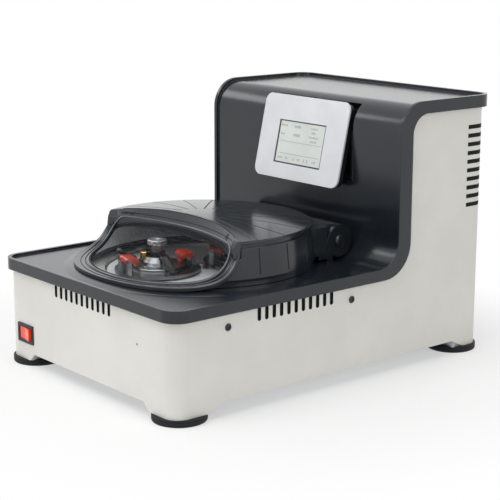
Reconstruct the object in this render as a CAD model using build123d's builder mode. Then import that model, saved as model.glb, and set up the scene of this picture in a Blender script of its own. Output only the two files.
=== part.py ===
from build123d import *
import math
import os

os.makedirs("parts", exist_ok=True)

# ---- overall sizes in mm: X runs across, -Y is the operator side, Z is up from the bench
width = 372.0
depth = 528.0
tower_top = 345.0
rim_top = 139.0
rim_rise = 3.0
rim_width = 5.0
cover_sheet = 3.0
cover_corner = 24.0
face_y = 91.4
foot_fillet = 33.0
brow_fillet = 39.0
tray_drop = 4.5

# ---- painted casing under the cover band
band_inset = 5.8
casing_width = width - 2 * band_inset
casing_depth = depth - 2 * band_inset
casing_corner = 20.0
sheet = 1.5
leg_low = 8.5
edge_low = 18.5
band_height = 14.8
band_side = 21.6
band_top = 16.0
tuck = 7.0
seam_y = 55.0
seam_gap = 0.3
fit = 0.3
running = 0.05

# ---- mill chamber and hood axis
mill_y = -78.0
deck_hole = 141.0
collar_top = 137.6
collar_flat = 163.0
collar_foot = 176.0
tub_radius = 124.0
tub_wall = 2.0
tub_floor = 44.0
tub_flange = 147.5

# ---- hood drum
hood_low = 137.9
drum_top = 191.5
drum_crown = 200.0
drum_radius = 141.0
drum_foot = 147.0
skirt_radius = 144.5
skirt_top = 146.0
hood_wall = 3.0
step_depth = 2.5
step_low = 183.5
step_high = 188.5
tail_half = 105.0
tail_top = 183.5
tail_low = 141.0
tail_end = 44.2
hinge_y = 66.0
hinge_z = 162.0
barrel_radius = 21.5
cheek_inner = 97.0
pin_radius = 5.0
pedestal_front = 45.0
pedestal_back = 54.5

# ---- viewing window in the front of the hood
arc_y = -378.0
arc_outer = 288.0
arc_inner = 278.0
visor_low = 142.0
visor_high = 190.0
visor_start = -122.0
visor_fade = 17.0
frame_thick = 4.0
window_half = 121.0
window_reach = 93.0
window_back = -128.0
gasket_width = 2.0
pane_thick = 3.0
pane_bulge = 38.0
flare_half = 136.0
flare_y = -135.0
flare_reach = 101.0
flare_power = 2.18
flare_steps = 6

# ---- planetary drive
station_radius = 60.0
station_angle = -107.4
second_phase = -23.0
plate_top = 129.0
plate_thick = 6.0
plate_radius = 121.5
cup_radius = 40.0
cup_inner = 36.0
cup_low = 78.0
flange_radius = 54.3
flange_top = 135.0
flange_thick = 4.0
planet_pulley = 16.0
fixed_pulley_radius = 32.0
pulley_low = 56.0
pulley_high = 72.0
belt_thick = 2.0
belt_width = 6.0
shaft_radius = 9.0
motor_y = 186.0
drive_pulley_radius = 50.0
motor_pulley_radius = 20.0
drive_low = 24.0
drive_high = 36.0

# ---- display
display_x = 7.5
display_tilt = 12.5
display_width = 165.0
display_height = 112.5
display_top_y = 96.7
display_top_z = 336.2
plate_sheet = 2.6
shell_wide = 163.0
shell_depth = 8.0


def side_shape(low, front, rear, deck, face, top, hollow_radius, brow_radius):
    # outline of the machine seen from the side: deck, concave fillet, front face, brow
    half = math.sqrt(0.5)
    with BuildSketch(Plane.YZ) as drawn:
        with BuildLine():
            Polyline((face - hollow_radius, deck), (front, deck), (front, low), (rear, low),
                     (rear, top), (face + brow_radius, top))
            ThreePointArc((face + brow_radius, top),
                          (face + brow_radius - brow_radius * half, top - brow_radius + brow_radius * half),
                          (face, top - brow_radius))
            Line((face, top - brow_radius), (face, deck + hollow_radius))
            ThreePointArc((face, deck + hollow_radius),
                          (face - hollow_radius + hollow_radius * half,
                           deck + hollow_radius - hollow_radius * half),
                          (face - hollow_radius, deck))
        make_face()
    return drawn.sketch


def block_of(shape, wide, deep, corner):
    # the side outline swept across the machine and trimmed to a rounded plan
    with BuildPart() as block:
        extrude(shape, amount=width, both=True)
        with BuildSketch():
            RectangleRounded(wide, deep, corner)
        extrude(amount=2 * tower_top, mode=Mode.INTERSECT)
    return block.part


def wall_plane(angle):
    # vertical plane through the local axis, its x running outwards at the angle
    turn = math.radians(angle)
    return Plane(origin=(0, 0, 0), x_dir=(math.cos(turn), math.sin(turn), 0),
                 z_dir=(math.sin(turn), -math.cos(turn), 0))


def export_node(solid, name):
    solid.label = name
    export_step(solid, "parts/" + name + ".step")


mill_axis = Axis((0, mill_y, 0), (0, 0, 1))
mill_plane = Plane(origin=(0, mill_y, 0), x_dir=(1, 0, 0), z_dir=(0, -1, 0))
half_width = width / 2
front_y = -depth / 2
rear_y = depth / 2
casing_half = casing_width / 2
casing_back = casing_depth / 2
inside_half = casing_half - sheet
inside_back = casing_back - sheet
deck_z = rim_top - rim_rise
deck_under = deck_z - cover_sheet
front_face = face_y + rim_rise

outer_shape = side_shape(0, front_y, rear_y, rim_top, face_y, tower_top, foot_fillet, brow_fillet)
tray_shape = side_shape(0, front_y, rear_y, deck_z, front_face, tower_top - tray_drop,
                        foot_fillet + rim_rise, brow_fillet - rim_rise)
hollow_shape = side_shape(0, front_y, rear_y, deck_under, front_face + cover_sheet,
                          tower_top - tray_drop - cover_sheet,
                          foot_fillet + rim_rise + cover_sheet,
                          brow_fillet - rim_rise - cover_sheet)
under_shape = side_shape(-1, front_y - 1, rear_y + 1, rim_top - band_height, face_y + band_side,
                         tower_top - band_top, 44.0, 26.0)
wall_shape = side_shape(0, front_y, rear_y, rim_top - band_height + tuck, face_y + band_side - tuck,
                        tower_top - band_top + tuck, 40.0, 31.0)

cover_block = block_of(outer_shape, width, depth, cover_corner)
tray_plan = (width - 2 * rim_width, depth - 2 * rim_width, cover_corner - rim_width)
rim_inside = block_of(outer_shape, *tray_plan)
tray_block = block_of(tray_shape, *tray_plan)
hollow_block = block_of(hollow_shape, casing_width + 2 * fit, casing_depth + 2 * fit,
                        casing_corner + fit)

# ---- base tray: steel pan with a pad over each foot
foot_x = half_width - 33.0
foot_y = rear_y - 33.0
foot_radius = 33.0
tray_thick = 2.0
pad_long = 50.0
with BuildPart() as base_tray:
    with BuildSketch(Plane.XY.offset(edge_low)):
        RectangleRounded(2 * (inside_half - fit), 2 * (inside_back - fit), casing_corner - sheet)
    extrude(amount=tray_thick)
    with BuildSketch(Plane.XY.offset(leg_low)) as pads:
        RectangleRounded(2 * (inside_half - fit), 2 * (inside_back - fit), casing_corner - sheet)
        Rectangle(2 * (inside_half - pad_long), 2 * inside_back, mode=Mode.SUBTRACT)
        Rectangle(2 * inside_half, 2 * (inside_back - pad_long), mode=Mode.SUBTRACT)
    extrude(amount=edge_low - leg_low)
export_node(base_tray.part, "base_tray")

# ---- four rubber feet
foot_round = 2.0
with BuildPart() as feet:
    with BuildSketch():
        with GridLocations(2 * foot_x, 2 * foot_y, 2, 2):
            Circle(foot_radius)
    extrude(amount=leg_low)
    fillet(feet.edges().group_by(Axis.Z)[0], radius=foot_round)
export_node(feet.part, "feet")

# ---- casing: off-white sheet wrapped round the front, both sides and the rear corners
vent_count = 11
vent_pitch = 11.55
vent_wide = 4.0
vent_low = 107.2
vent_high = 129.0
front_vent_x = -5.5
side_vent_y = -75.6
grille_count = 10
grille_low = 201.2
grille_pitch = 11.4
grille_start = 222.0
grille_rear = 148.0
screw_low_y = -180.6
screw_high_y = 16.0
screw_z = 107.5
screw_shank = 2.0
switch_x = 48.0 - width / 2
switch_z = 43.5
switch_wide = 31.6
switch_high = 20.6
lamp_x = width / 2 - 77.4
lamp_z = 85.3
panel_open = 138.0
with BuildPart() as casing_wrap:
    with BuildSketch(Plane.XY.offset(leg_low)):
        RectangleRounded(casing_width, casing_depth, casing_corner)
        RectangleRounded(2 * inside_half, 2 * inside_back, casing_corner - sheet, mode=Mode.SUBTRACT)
    extrude(amount=tower_top)
    extrude(wall_shape, amount=width, both=True, mode=Mode.INTERSECT)
    with BuildSketch(Plane.YZ):
        with BuildLine():
            Polyline((-204, 0), (-204, leg_low), (-196, 13.0), (-188, edge_low), (203, edge_low),
                     (214, 13.0), (225, leg_low), (225, 0), close=True)
        make_face()
    extrude(amount=width, both=True, mode=Mode.SUBTRACT)
    with BuildSketch(Plane.XZ):
        with BuildLine():
            Polyline((-130, 0), (-130, leg_low), (-120, edge_low), (120, edge_low),
                     (130, leg_low), (130, 0), close=True)
        make_face()
    extrude(amount=depth, both=True, mode=Mode.SUBTRACT)
    with BuildSketch(Plane.XZ.offset(casing_back + 5)):
        with Locations((front_vent_x, (vent_low + vent_high) / 2)):
            with GridLocations(vent_pitch, 1, vent_count, 1):
                SlotOverall(vent_high - vent_low, vent_wide, rotation=90)
        with Locations((switch_x, switch_z)):
            Rectangle(switch_wide + fit, switch_high + fit)
        with Locations((lamp_x, lamp_z)):
            Circle(1.5)
    extrude(amount=-20, mode=Mode.SUBTRACT)
    with BuildSketch(Plane.YZ):
        with Locations((side_vent_y, (vent_low + vent_high) / 2)):
            with GridLocations(vent_pitch, 1, vent_count, 1):
                SlotOverall(vent_high - vent_low, vent_wide, rotation=90)
        with Locations((screw_low_y, screw_z), (screw_high_y, screw_z)):
            Circle(screw_shank + fit)
    extrude(amount=width, both=True, mode=Mode.SUBTRACT)
    for row in range(grille_count):
        for side in (-1, 1):
            with Locations((side * (grille_rear + casing_half + 5) / 2, (grille_start + casing_back + 5) / 2,
                            grille_low + row * grille_pitch)):
                Box(casing_half + 5 - grille_rear, casing_back + 5 - grille_start, vent_wide,
                    mode=Mode.SUBTRACT)
    with BuildSketch(Plane.XZ.offset(-casing_back - 5)):
        with Locations((0, (edge_low + tower_top) / 2)):
            Rectangle(2 * panel_open, tower_top - edge_low)
    extrude(amount=20, mode=Mode.SUBTRACT)
export_node(casing_wrap.part, "casing_wrap")

# ---- rear panel with fan grille and mains cut-out
panel_half = panel_open + 8.0
panel_top = tower_top - band_top + tuck
fan_x = 60.0
fan_z = 250.0
fan_size = 92.0
fan_bore = 43.5
inlet_x = 91.0 - width / 2
inlet_z = 62.0
inlet_wide = 28.0
inlet_high = 21.0
grid_slots = 9
grid_pitch = 9.0
with BuildPart() as rear_panel:
    with BuildSketch(Plane.XZ.offset(-inside_back)):
        with Locations((0, (edge_low + tray_thick + panel_top) / 2)):
            Rectangle(2 * panel_half, panel_top - edge_low - tray_thick)
        with Locations((inlet_x, inlet_z)):
            Rectangle(inlet_wide + fit, inlet_high + fit, mode=Mode.SUBTRACT)
        for slot in range(grid_slots):
            shift = (slot - (grid_slots - 1) / 2) * grid_pitch
            chord = 2 * math.sqrt(fan_bore ** 2 - shift ** 2) - 6
            with Locations((fan_x + shift, fan_z)):
                SlotOverall(chord, vent_wide, rotation=90, mode=Mode.SUBTRACT)
    extrude(amount=sheet)
export_node(rear_panel.part, "rear_panel")

# ---- deck cover: front half of the dark cover with its rim, opening and collar
slot_x = 154.0
slot_wide = 9.0
slot_front = -98.0
slot_back = -67.0
with BuildPart() as deck_cover:
    add(cover_block)
    add(rim_inside, mode=Mode.SUBTRACT)
    add(tray_block)
    with BuildSketch(mill_plane):
        with BuildLine():
            Polyline((deck_hole - 2, deck_under), (collar_foot, deck_under), (collar_foot, deck_z),
                     (collar_flat, collar_top), (deck_hole - 2, collar_top), close=True)
        make_face()
    revolve(axis=mill_axis)
    extrude(under_shape, amount=width, both=True, mode=Mode.SUBTRACT)
    add(hollow_block, mode=Mode.SUBTRACT)
    with Locations((0, mill_y, deck_z)):
        Cylinder(deck_hole, 40, mode=Mode.SUBTRACT)
    with Locations((-slot_x, (slot_front + slot_back) / 2, deck_z)):
        Box(slot_wide, slot_back - slot_front, 40, mode=Mode.SUBTRACT)
    for side in (-1, 1):
        with Locations((side * (cheek_inner + tail_half) / 2, (pedestal_front + pedestal_back) / 2, deck_z + 5)):
            Box(tail_half - cheek_inner + 2 * fit, pedestal_back - pedestal_front + 2 * fit, 10,
                mode=Mode.SUBTRACT)
    with Locations((0, seam_y - seam_gap / 2 + 300, tower_top / 2)):
        Box(2 * width, 600, 2 * tower_top, mode=Mode.SUBTRACT)
export_node(deck_cover.part, "deck_cover")

# ---- tower cover: rear half of the dark cover with its tray top and display pocket
pocket_half = shell_wide / 2 + 6.0
pocket_x = display_x + 1.5
pocket_low = 236.0
pocket_high = 334.5
recess_x = 6.5
recess_z = 246.5
recess_radius = 25.8
recess_floor = 12.0
with BuildPart() as tower_cover:
    add(cover_block)
    add(rim_inside, mode=Mode.SUBTRACT)
    add(tray_block)
    extrude(under_shape, amount=width, both=True, mode=Mode.SUBTRACT)
    add(hollow_block, mode=Mode.SUBTRACT)
    with Locations((0, seam_y + seam_gap / 2 - 300, tower_top / 2)):
        Box(2 * width, 600, 2 * tower_top, mode=Mode.SUBTRACT)
    with BuildSketch(Plane.XZ.offset(-front_face)):
        with Locations((recess_x, recess_z)):
            Circle(recess_radius + cover_sheet)
    extrude(amount=-recess_floor - cover_sheet)
    with BuildSketch(Plane.XZ.offset(-front_face)):
        with Locations((recess_x, recess_z)):
            Circle(recess_radius)
    extrude(amount=-recess_floor, mode=Mode.SUBTRACT)
    with Locations((pocket_x, front_face + 20, (pocket_low + pocket_high) / 2)):
        Box(2 * pocket_half, 60, pocket_high - pocket_low, mode=Mode.SUBTRACT)
export_node(tower_cover.part, "tower_cover")

# ---- button-head screws in the two sides
head_radius = 4.5
head_high = 2.0
with BuildPart() as side_screws:
    with BuildSketch(Plane.YZ.offset(casing_half)):
        with Locations((screw_low_y, screw_z), (screw_high_y, screw_z)):
            Circle(head_radius)
    extrude(amount=head_high)
    fillet(side_screws.edges().group_by(Axis.X)[-1], radius=1.2)
    with BuildSketch(Plane.YZ.offset(casing_half)):
        with Locations((screw_low_y, screw_z), (screw_high_y, screw_z)):
            Circle(screw_shank)
    extrude(amount=-8)
    with BuildSketch(Plane.YZ.offset(casing_half + head_high)):
        with Locations((screw_low_y, screw_z), (screw_high_y, screw_z)):
            RegularPolygon(1.6, 6)
    extrude(amount=-1.2, mode=Mode.SUBTRACT)
    mirror(about=Plane.YZ)
export_node(side_screws.part, "side_screws")

# ---- mains inlet in the rear panel
inlet_flange = 2.5
with BuildPart() as mains_inlet:
    with BuildSketch(Plane.XZ.offset(-inside_back)):
        with Locations((inlet_x, inlet_z)):
            RectangleRounded(48, 28, 4)
    extrude(amount=-inlet_flange)
    with BuildSketch(Plane.XZ.offset(-inside_back)):
        with Locations((inlet_x, inlet_z)):
            Rectangle(inlet_wide, inlet_high)
    extrude(amount=24)
    with BuildSketch(Plane.XZ.offset(-inside_back - inlet_flange)):
        with Locations((inlet_x, inlet_z)):
            RectangleRounded(24.5, 16.5, 3)
    extrude(amount=18, mode=Mode.SUBTRACT)
    with BuildSketch(Plane.XZ.offset(-inside_back - inlet_flange + 19)):
        with Locations((inlet_x - 7, inlet_z - 2), (inlet_x, inlet_z + 2), (inlet_x + 7, inlet_z - 2)):
            Rectangle(2, 5)
    extrude(amount=-14)
export_node(mains_inlet.part, "mains_inlet")

# ---- mains switch: black surround and lit rocker
switch_depth = 14.0
rocker_half = 13.6
rocker_high = 15.4
rocker_y = -casing_back + 4.0
trunnion_radius = 1.6
trunnion_length = rocker_high + 4.0
with BuildPart() as rocker_bezel:
    with BuildSketch(Plane.XZ.offset(casing_back)):
        with Locations((switch_x, switch_z)):
            RectangleRounded(36, 25, 1.5)
    extrude(amount=1.8)
    with BuildSketch(Plane.XZ.offset(casing_back)):
        with Locations((switch_x, switch_z)):
            Rectangle(switch_wide, switch_high)
    extrude(amount=-switch_depth)
    with BuildSketch(Plane.XZ.offset(casing_back + 1.8)):
        with Locations((switch_x, switch_z)):
            Rectangle(2 * rocker_half + 1.0, rocker_high + 0.6)
    extrude(amount=-switch_depth, mode=Mode.SUBTRACT)
    with Locations((switch_x, rocker_y, switch_z)):
        Cylinder(trunnion_radius + running, trunnion_length + 0.4, mode=Mode.SUBTRACT)
export_node(rocker_bezel.part, "rocker_bezel")

with BuildPart() as rocker_switch:
    with BuildSketch(Plane.XY.offset(switch_z - rocker_high / 2)):
        with BuildLine():
            Polyline((switch_x - 12.6, rocker_y - 5.2), (switch_x, rocker_y - 6.0),
                     (switch_x + 12.4, rocker_y - 8.6), (switch_x + 9.5, rocker_y + 3.0),
                     (switch_x, rocker_y + 5.0), (switch_x - 9.5, rocker_y + 3.0), close=True)
        make_face()
    extrude(amount=rocker_high)
    with Locations((switch_x, rocker_y, switch_z)):
        Cylinder(trunnion_radius, trunnion_length)
export_node(rocker_switch.part, "rocker_switch")

# ---- stainless mill tub hanging under the deck, standing on four posts
post_radius = 8.0
post_spread = 78.0
housing_bore = 27.0
with BuildPart() as chamber_tub:
    with BuildSketch(mill_plane):
        with BuildLine():
            Polyline((housing_bore, tub_floor), (tub_radius + tub_wall, tub_floor),
                     (tub_radius + tub_wall, deck_under - tub_wall), (tub_flange, deck_under - tub_wall),
                     (tub_flange, deck_under), (tub_radius, deck_under),
                     (tub_radius, tub_floor + tub_wall), (housing_bore, tub_floor + tub_wall), close=True)
        make_face()
    revolve(axis=mill_axis)
    with BuildSketch(Plane.XY.offset(edge_low + tray_thick)):
        with Locations((0, mill_y)):
            with GridLocations(2 * post_spread, 2 * post_spread, 2, 2):
                Circle(post_radius)
    extrude(amount=tub_floor - edge_low - tray_thick)
export_node(chamber_tub.part, "chamber_tub")

# ---- hinge cheeks beside the barrel and the pin through them
with BuildPart() as hinge_cheeks:
    with BuildSketch(Plane.YZ.offset(cheek_inner)):
        with Locations((hinge_y, hinge_z)):
            Circle(barrel_radius)
        with Locations(((pedestal_front + pedestal_back) / 2, (deck_z + hinge_z) / 2)):
            Rectangle(pedestal_back - pedestal_front, hinge_z - deck_z)
        with Locations((hinge_y, hinge_z)):
            Circle(pin_radius + running, mode=Mode.SUBTRACT)
    extrude(amount=tail_half - cheek_inner)
    mirror(about=Plane.YZ)
export_node(hinge_cheeks.part, "hinge_cheeks")

with BuildPart() as hinge_pin:
    with BuildSketch(Plane.YZ):
        with Locations((hinge_y, hinge_z)):
            Circle(pin_radius)
    extrude(amount=tail_half - 0.5, both=True)
export_node(hinge_pin.part, "hinge_pin")

# ---- hood lock under the deck: housing and sliding bolt
lock_y = -78.0
lock_z = 119.0
lock_half = 16.0
lock_outer = inside_half - fit
lock_inner = 159.0
bolt_radius = 4.0
with BuildPart() as lock_housing:
    with Locations((-(lock_outer + lock_inner) / 2, lock_y, (deck_under + 105) / 2)):
        Box(lock_outer - lock_inner, 2 * lock_half, deck_under - 105)
    with Locations((-(lock_outer + lock_inner) / 2 + 3, lock_y, lock_z)):
        Cylinder(bolt_radius + running, lock_outer - lock_inner, rotation=(0, 90, 0), mode=Mode.SUBTRACT)
export_node(lock_housing.part, "lock_housing")

with BuildPart() as lock_bolt:
    with BuildSketch(Plane.YZ.offset(-lock_inner)):
        with Locations((lock_y, lock_z)):
            Circle(bolt_radius)
    extrude(amount=-(lock_outer - lock_inner) + 4)
export_node(lock_bolt.part, "lock_bolt")

# ---- window curves shared by the hood shell, frame, gasket and pane
curve_steps = 24


def visor_height(y):
    return visor_low + (visor_high - visor_low) * math.exp((y - visor_start) / visor_fade)


visor_front = -245.0
visor_line = []
lower_line = []
for step in range(curve_steps + 1):
    along = (step / curve_steps) ** 1.6
    y = visor_start + 4.0 + (visor_front - visor_start - 4.0) * along
    rise = (visor_height(y) - visor_low) / visor_fade
    norm = math.hypot(1.0, rise)
    visor_line.append((y, visor_height(y)))
    lower_line.append((y + frame_thick * rise / norm, visor_height(y) - frame_thick / norm))

with BuildSketch(Plane.YZ) as visor_slab:
    with BuildLine():
        Spline(*visor_line)
        Line(visor_line[-1], lower_line[-1])
        Spline(*reversed(lower_line))
        Line(lower_line[0], visor_line[0])
    make_face()

with BuildSketch(Plane.YZ) as above_lower:
    with BuildLine():
        Spline(*reversed(lower_line))
        Polyline(lower_line[0], (lower_line[0][0], skirt_top + 4), (-60, skirt_top + 4), (-60, 262),
                 (visor_front - 15, 262), (visor_front - 15, lower_line[-1][1]), lower_line[-1])
    make_face()


def window_outline(grow):
    # plan of the glazed opening: half an ellipse in front, an arc behind
    reach = window_reach + grow
    half = window_half + grow
    arc = arc_inner + grow
    with BuildSketch() as drawn:
        with Locations((0, window_back)):
            Ellipse(half, reach)
        with Locations((0, window_back + reach)):
            Rectangle(4 * half, 2 * reach, mode=Mode.SUBTRACT)
        with Locations((0, window_back + 35)):
            Rectangle(2 * half, 70)
        with Locations((0, arc_y)):
            Circle(arc, mode=Mode.INTERSECT)
    return drawn.sketch


def hood_outline():
    # plan of the flared front of the hood, a little squarer than an ellipse
    side = [(flare_half - 4.0, visor_start + 4.0)]
    for step in range(flare_steps + 1):
        turn = math.pi / 2 * step / flare_steps
        side.append((flare_half * abs(math.cos(turn)) ** (2 / flare_power),
                     flare_y - flare_reach * math.sin(turn) ** (2 / flare_power)))
    left = [(-x, y) for x, y in reversed(side[:-1])]
    with BuildSketch() as drawn:
        with BuildLine():
            Spline(*(side + left))
            Polyline(left[-1], (left[-1][0], -60), (side[0][0], -60), side[0])
        make_face()
        with Locations((0, arc_y)):
            Circle(arc_outer, mode=Mode.INTERSECT)
    return drawn.sketch


# ---- solid form of the drum, used to trim the window strip
with BuildPart() as drum_form:
    with BuildSketch(mill_plane):
        with BuildLine():
            Line((0, hood_low), (0, drum_crown))
            ThreePointArc((0, drum_crown), (drum_radius * 0.5, drum_crown - (drum_crown - drum_top) * 0.27),
                          (drum_radius - 2, drum_top))
            Polyline((drum_radius - 2, drum_top), (drum_radius, drum_top - 2), (drum_radius, step_high),
                     (drum_foot, hood_low), (0, hood_low))
        make_face()
    revolve(axis=mill_axis)

# ---- grooves that divide the hood's top and wall into equal sectors, and ribs on its tail
groove_pitch = 18.0
groove_first = -9.0
roof_grooves = 12
wall_grooves = (0, 1, 2, 9, 10, 11)
groove_wide = 1.5
groove_deep = 1.0
groove_inner = 34.0
wall_groove_low = 150.0
wall_groove_high = 182.0
wall_slope = (drum_foot - drum_radius) / (step_high - hood_low)
roof_slope = (drum_crown - drum_top) / drum_radius ** 2
rib_count = 5
rib_start = 31.0
rib_pitch = 10.0
with BuildPart() as hood_grooves:
    for number in range(roof_grooves):
        with BuildSketch(Plane((0, mill_y, 0)) * wall_plane(groove_first + number * groove_pitch)):
            with BuildLine():
                Polyline(*[(reach, drum_crown - roof_slope * reach ** 2 - groove_deep)
                           for reach in (groove_inner, 60, 85, 105, 122, drum_radius + 4)],
                         (drum_radius + 4, drum_crown + 4), (groove_inner, drum_crown + 4), close=True)
            make_face()
        extrude(amount=groove_wide / 2, both=True)
    for number in wall_grooves:
        with BuildSketch(Plane((0, mill_y, 0)) * wall_plane(groove_first + number * groove_pitch)):
            with BuildLine():
                Polyline((drum_radius + (step_high - wall_groove_low) * wall_slope - groove_deep, wall_groove_low),
                         (drum_radius + (step_high - wall_groove_high) * wall_slope - groove_deep,
                          wall_groove_high),
                         (drum_foot + 3, wall_groove_high), (drum_foot + 3, wall_groove_low), close=True)
            make_face()
        extrude(amount=groove_wide / 2, both=True)
    with BuildSketch(Plane.YZ):
        for number in range(rib_count):
            rib_y = rib_start + number * rib_pitch
            rib_z = hinge_z + math.sqrt(barrel_radius ** 2 - max(rib_y - hinge_y, 0) ** 2)
            with Locations((rib_y, rib_z)):
                Rectangle(groove_wide, 2 * groove_deep)
    extrude(amount=tail_half + 1, both=True)

# ---- hood shell: drum, stepped edge, tail, hinge barrel and lock tongue
tongue_x = 154.0
tongue_thick = 4.0
tongue_half = 8.0
tongue_low = 112.0
tongue_hole = 5.5
with BuildPart() as hood_shell:
    add(drum_form.part)
    with BuildSketch(Plane.YZ):
        with BuildLine():
            Polyline((-30, tail_low), (tail_end, tail_low), (tail_end, tail_top), (-30, tail_top), close=True)
        make_face()
    extrude(amount=tail_half, both=True)
    with BuildSketch(Plane.YZ):
        with Locations((hinge_y, hinge_z)):
            Circle(barrel_radius)
        with Locations(((tail_end + hinge_y) / 2 - 4, (tail_top + hinge_z) / 2)):
            Rectangle(hinge_y - tail_end + 8, tail_top - hinge_z)
    extrude(amount=cheek_inner - fit, both=True)
    with BuildSketch(mill_plane):
        with BuildLine():
            Polyline((drum_radius - step_depth, step_low), (drum_radius + 20, step_low),
                     (drum_radius + 20, step_high), (drum_radius - step_depth, step_high), close=True)
        make_face()
    revolve(axis=mill_axis, revolution_arc=360, mode=Mode.SUBTRACT)
    with BuildSketch(Plane.YZ):
        with BuildLine():
            Polyline((4, step_low - 1), (tail_end, step_low - 1), (tail_end, tail_top), (4, tail_top), close=True)
        make_face()
    extrude(amount=tail_half, both=True)
    with BuildSketch(mill_plane):
        with BuildLine():
            Polyline((skirt_radius, hood_low - 1), (drum_foot + 8, hood_low - 1), (drum_foot + 8, skirt_top),
                     (skirt_radius, skirt_top), close=True)
        make_face()
    revolve(axis=mill_axis, mode=Mode.SUBTRACT)
    with BuildSketch(Plane.YZ):
        with BuildLine():
            Polyline((30, tail_low), (tail_end, tail_low), (tail_end, skirt_top + 1), (30, skirt_top + 1),
                     close=True)
        make_face()
    extrude(amount=tail_half, both=True)
    with BuildSketch(mill_plane):
        with BuildLine():
            Line((0, hood_low - 1), (0, drum_crown - hood_wall))
            ThreePointArc((0, drum_crown - hood_wall),
                          (drum_radius * 0.5, drum_crown - hood_wall - (drum_crown - drum_top) * 0.3),
                          (drum_radius - step_depth - hood_wall, step_high - hood_wall + 1))
            Polyline((drum_radius - step_depth - hood_wall, step_high - hood_wall + 1),
                     (drum_radius - step_depth - hood_wall, step_low - 4),
                     (skirt_radius - hood_wall, skirt_top), (skirt_radius - hood_wall, hood_low - 1),
                     (0, hood_low - 1))
        make_face()
    revolve(axis=mill_axis, mode=Mode.SUBTRACT)
    with BuildSketch(Plane.YZ):
        with Locations((hinge_y, hinge_z)):
            Circle(pin_radius + running)
    extrude(amount=width, both=True, mode=Mode.SUBTRACT)
    with Locations((-(tongue_x + skirt_radius) / 2, lock_y, (skirt_top + 139) / 2)):
        Box(tongue_x - skirt_radius + 6, 2 * tongue_half, skirt_top - 139)
    with Locations((-tongue_x, lock_y, (tongue_low + skirt_top) / 2)):
        Box(tongue_thick, 2 * tongue_half, skirt_top - tongue_low)
    with Locations((-tongue_x, lock_y, lock_z)):
        Cylinder(tongue_hole, 20, rotation=(0, 90, 0), mode=Mode.SUBTRACT)

with BuildPart() as visor_cut:
    extrude(above_lower.sketch, amount=width, both=True)
    with Locations((0, arc_y, 150)):
        Cylinder(arc_outer, 300, mode=Mode.INTERSECT)
    extrude(Plane.XY.offset(skirt_top + 4) * window_outline(0), amount=drum_top)

# ---- strip along the top of the window, let into the drum
with BuildPart() as strip:
    with BuildSketch(Plane(origin=(0, arc_y, 0), x_dir=(0, 1, 0), z_dir=(1, 0, 0))):
        with BuildLine():
            Polyline((arc_inner, 172), (arc_inner + 4, 172), (arc_outer, step_high - 1), (arc_outer, 204),
                     (arc_outer - 0.2, 204), (arc_inner, 183), close=True)
        make_face()
    revolve(axis=Axis((0, arc_y, 0), (0, 0, 1)))
    add(drum_form.part, mode=Mode.INTERSECT)

with BuildPart() as strip_room:
    with BuildSketch(Plane.XY.offset(172 - fit)):
        with Locations((0, arc_y)):
            Circle(arc_outer + fit)
            Circle(arc_inner - fit, mode=Mode.SUBTRACT)
    extrude(amount=40)

shell_solid = hood_shell.part - hood_grooves.part - visor_cut.part - strip_room.part
export_node(shell_solid, "hood_shell")

# ---- window frame: the flared slab round the opening joined to the strip
with BuildPart() as window_frame:
    extrude(visor_slab.sketch, amount=width, both=True)
    extrude(hood_outline(), amount=2 * drum_top, mode=Mode.INTERSECT)
    extrude(window_outline(0), amount=2 * drum_top, mode=Mode.SUBTRACT)
    with Locations((0, visor_start, drum_top + 50)):
        Box(2 * width, 200, 100, mode=Mode.SUBTRACT)
    add(strip.part)
export_node(window_frame.part, "window_frame")


def pane_height(x, y):
    # clear bubble: follows the frame at its edge, rises in the middle and levels off behind
    near = -pane_blend * math.log(math.exp(-y / pane_blend) + math.exp(-window_back / pane_blend))
    spread = (x / window_half) ** 2 + ((near - window_back) / window_reach) ** 2
    rise = pane_bulge * (1 - math.exp((near - window_back - 2) / 16.0))
    return visor_height(near) + rise * (1 - spread) + 0.08 * (y - near)


pane_blend = 4.0
grid_x = 21
grid_y = 21
pane_points = []
for row in range(grid_y):
    y = window_back - window_reach - 6 + (window_reach + 44) * row / (grid_y - 1)
    pane_points.append([Vector(-128 + 256 * column / (grid_x - 1), y,
                               pane_height(-128 + 256 * column / (grid_x - 1), y))
                        for column in range(grid_x)])
pane_face = Face.make_surface_from_array_of_points(pane_points)

with BuildPart() as window_pane:
    extrude(pane_face, amount=pane_thick, dir=(0, 0, -1))
    extrude(window_outline(-gasket_width), amount=2 * drum_top, mode=Mode.INTERSECT)
export_node(window_pane.part, "window_pane")

with BuildPart() as window_gasket:
    extrude(pane_face, amount=pane_thick + 0.6, dir=(0, 0, -1))
    extrude(window_outline(0), amount=2 * drum_top, mode=Mode.INTERSECT)
    extrude(window_outline(-gasket_width), amount=2 * drum_top, mode=Mode.SUBTRACT)
export_node(window_gasket.part, "window_gasket")

# ---- light grey liner inside the hood
liner = 1.2
liner_gap = 0.4
liner_top = drum_crown - hood_wall - liner_gap
liner_edge = drum_radius - step_depth - hood_wall - liner_gap
liner_foot = skirt_radius - hood_wall - liner_gap
roof_line = [(0, 0), (drum_radius * 0.25, 0.8), (drum_radius * 0.5, 2.8), (drum_radius * 0.75, 6.2)]
roof_above = [(reach, liner_top - fall) for reach, fall in roof_line]
roof_below = [(reach, liner_top - fall - liner) for reach, fall in reversed(roof_line)]
with BuildPart() as liner_form:
    with BuildSketch(mill_plane):
        with BuildLine():
            Polyline(*roof_above, (liner_edge, step_high - hood_wall), (liner_edge, step_low - 4.5),
                     (liner_foot, skirt_top), (liner_foot, hood_low + 3), (liner_foot - liner, hood_low + 3),
                     (liner_foot - liner, skirt_top), (liner_edge - liner, step_low - 4.5),
                     (liner_edge - liner, step_high - hood_wall - liner), *roof_below, close=True)
        make_face()
    revolve(axis=mill_axis)
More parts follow.
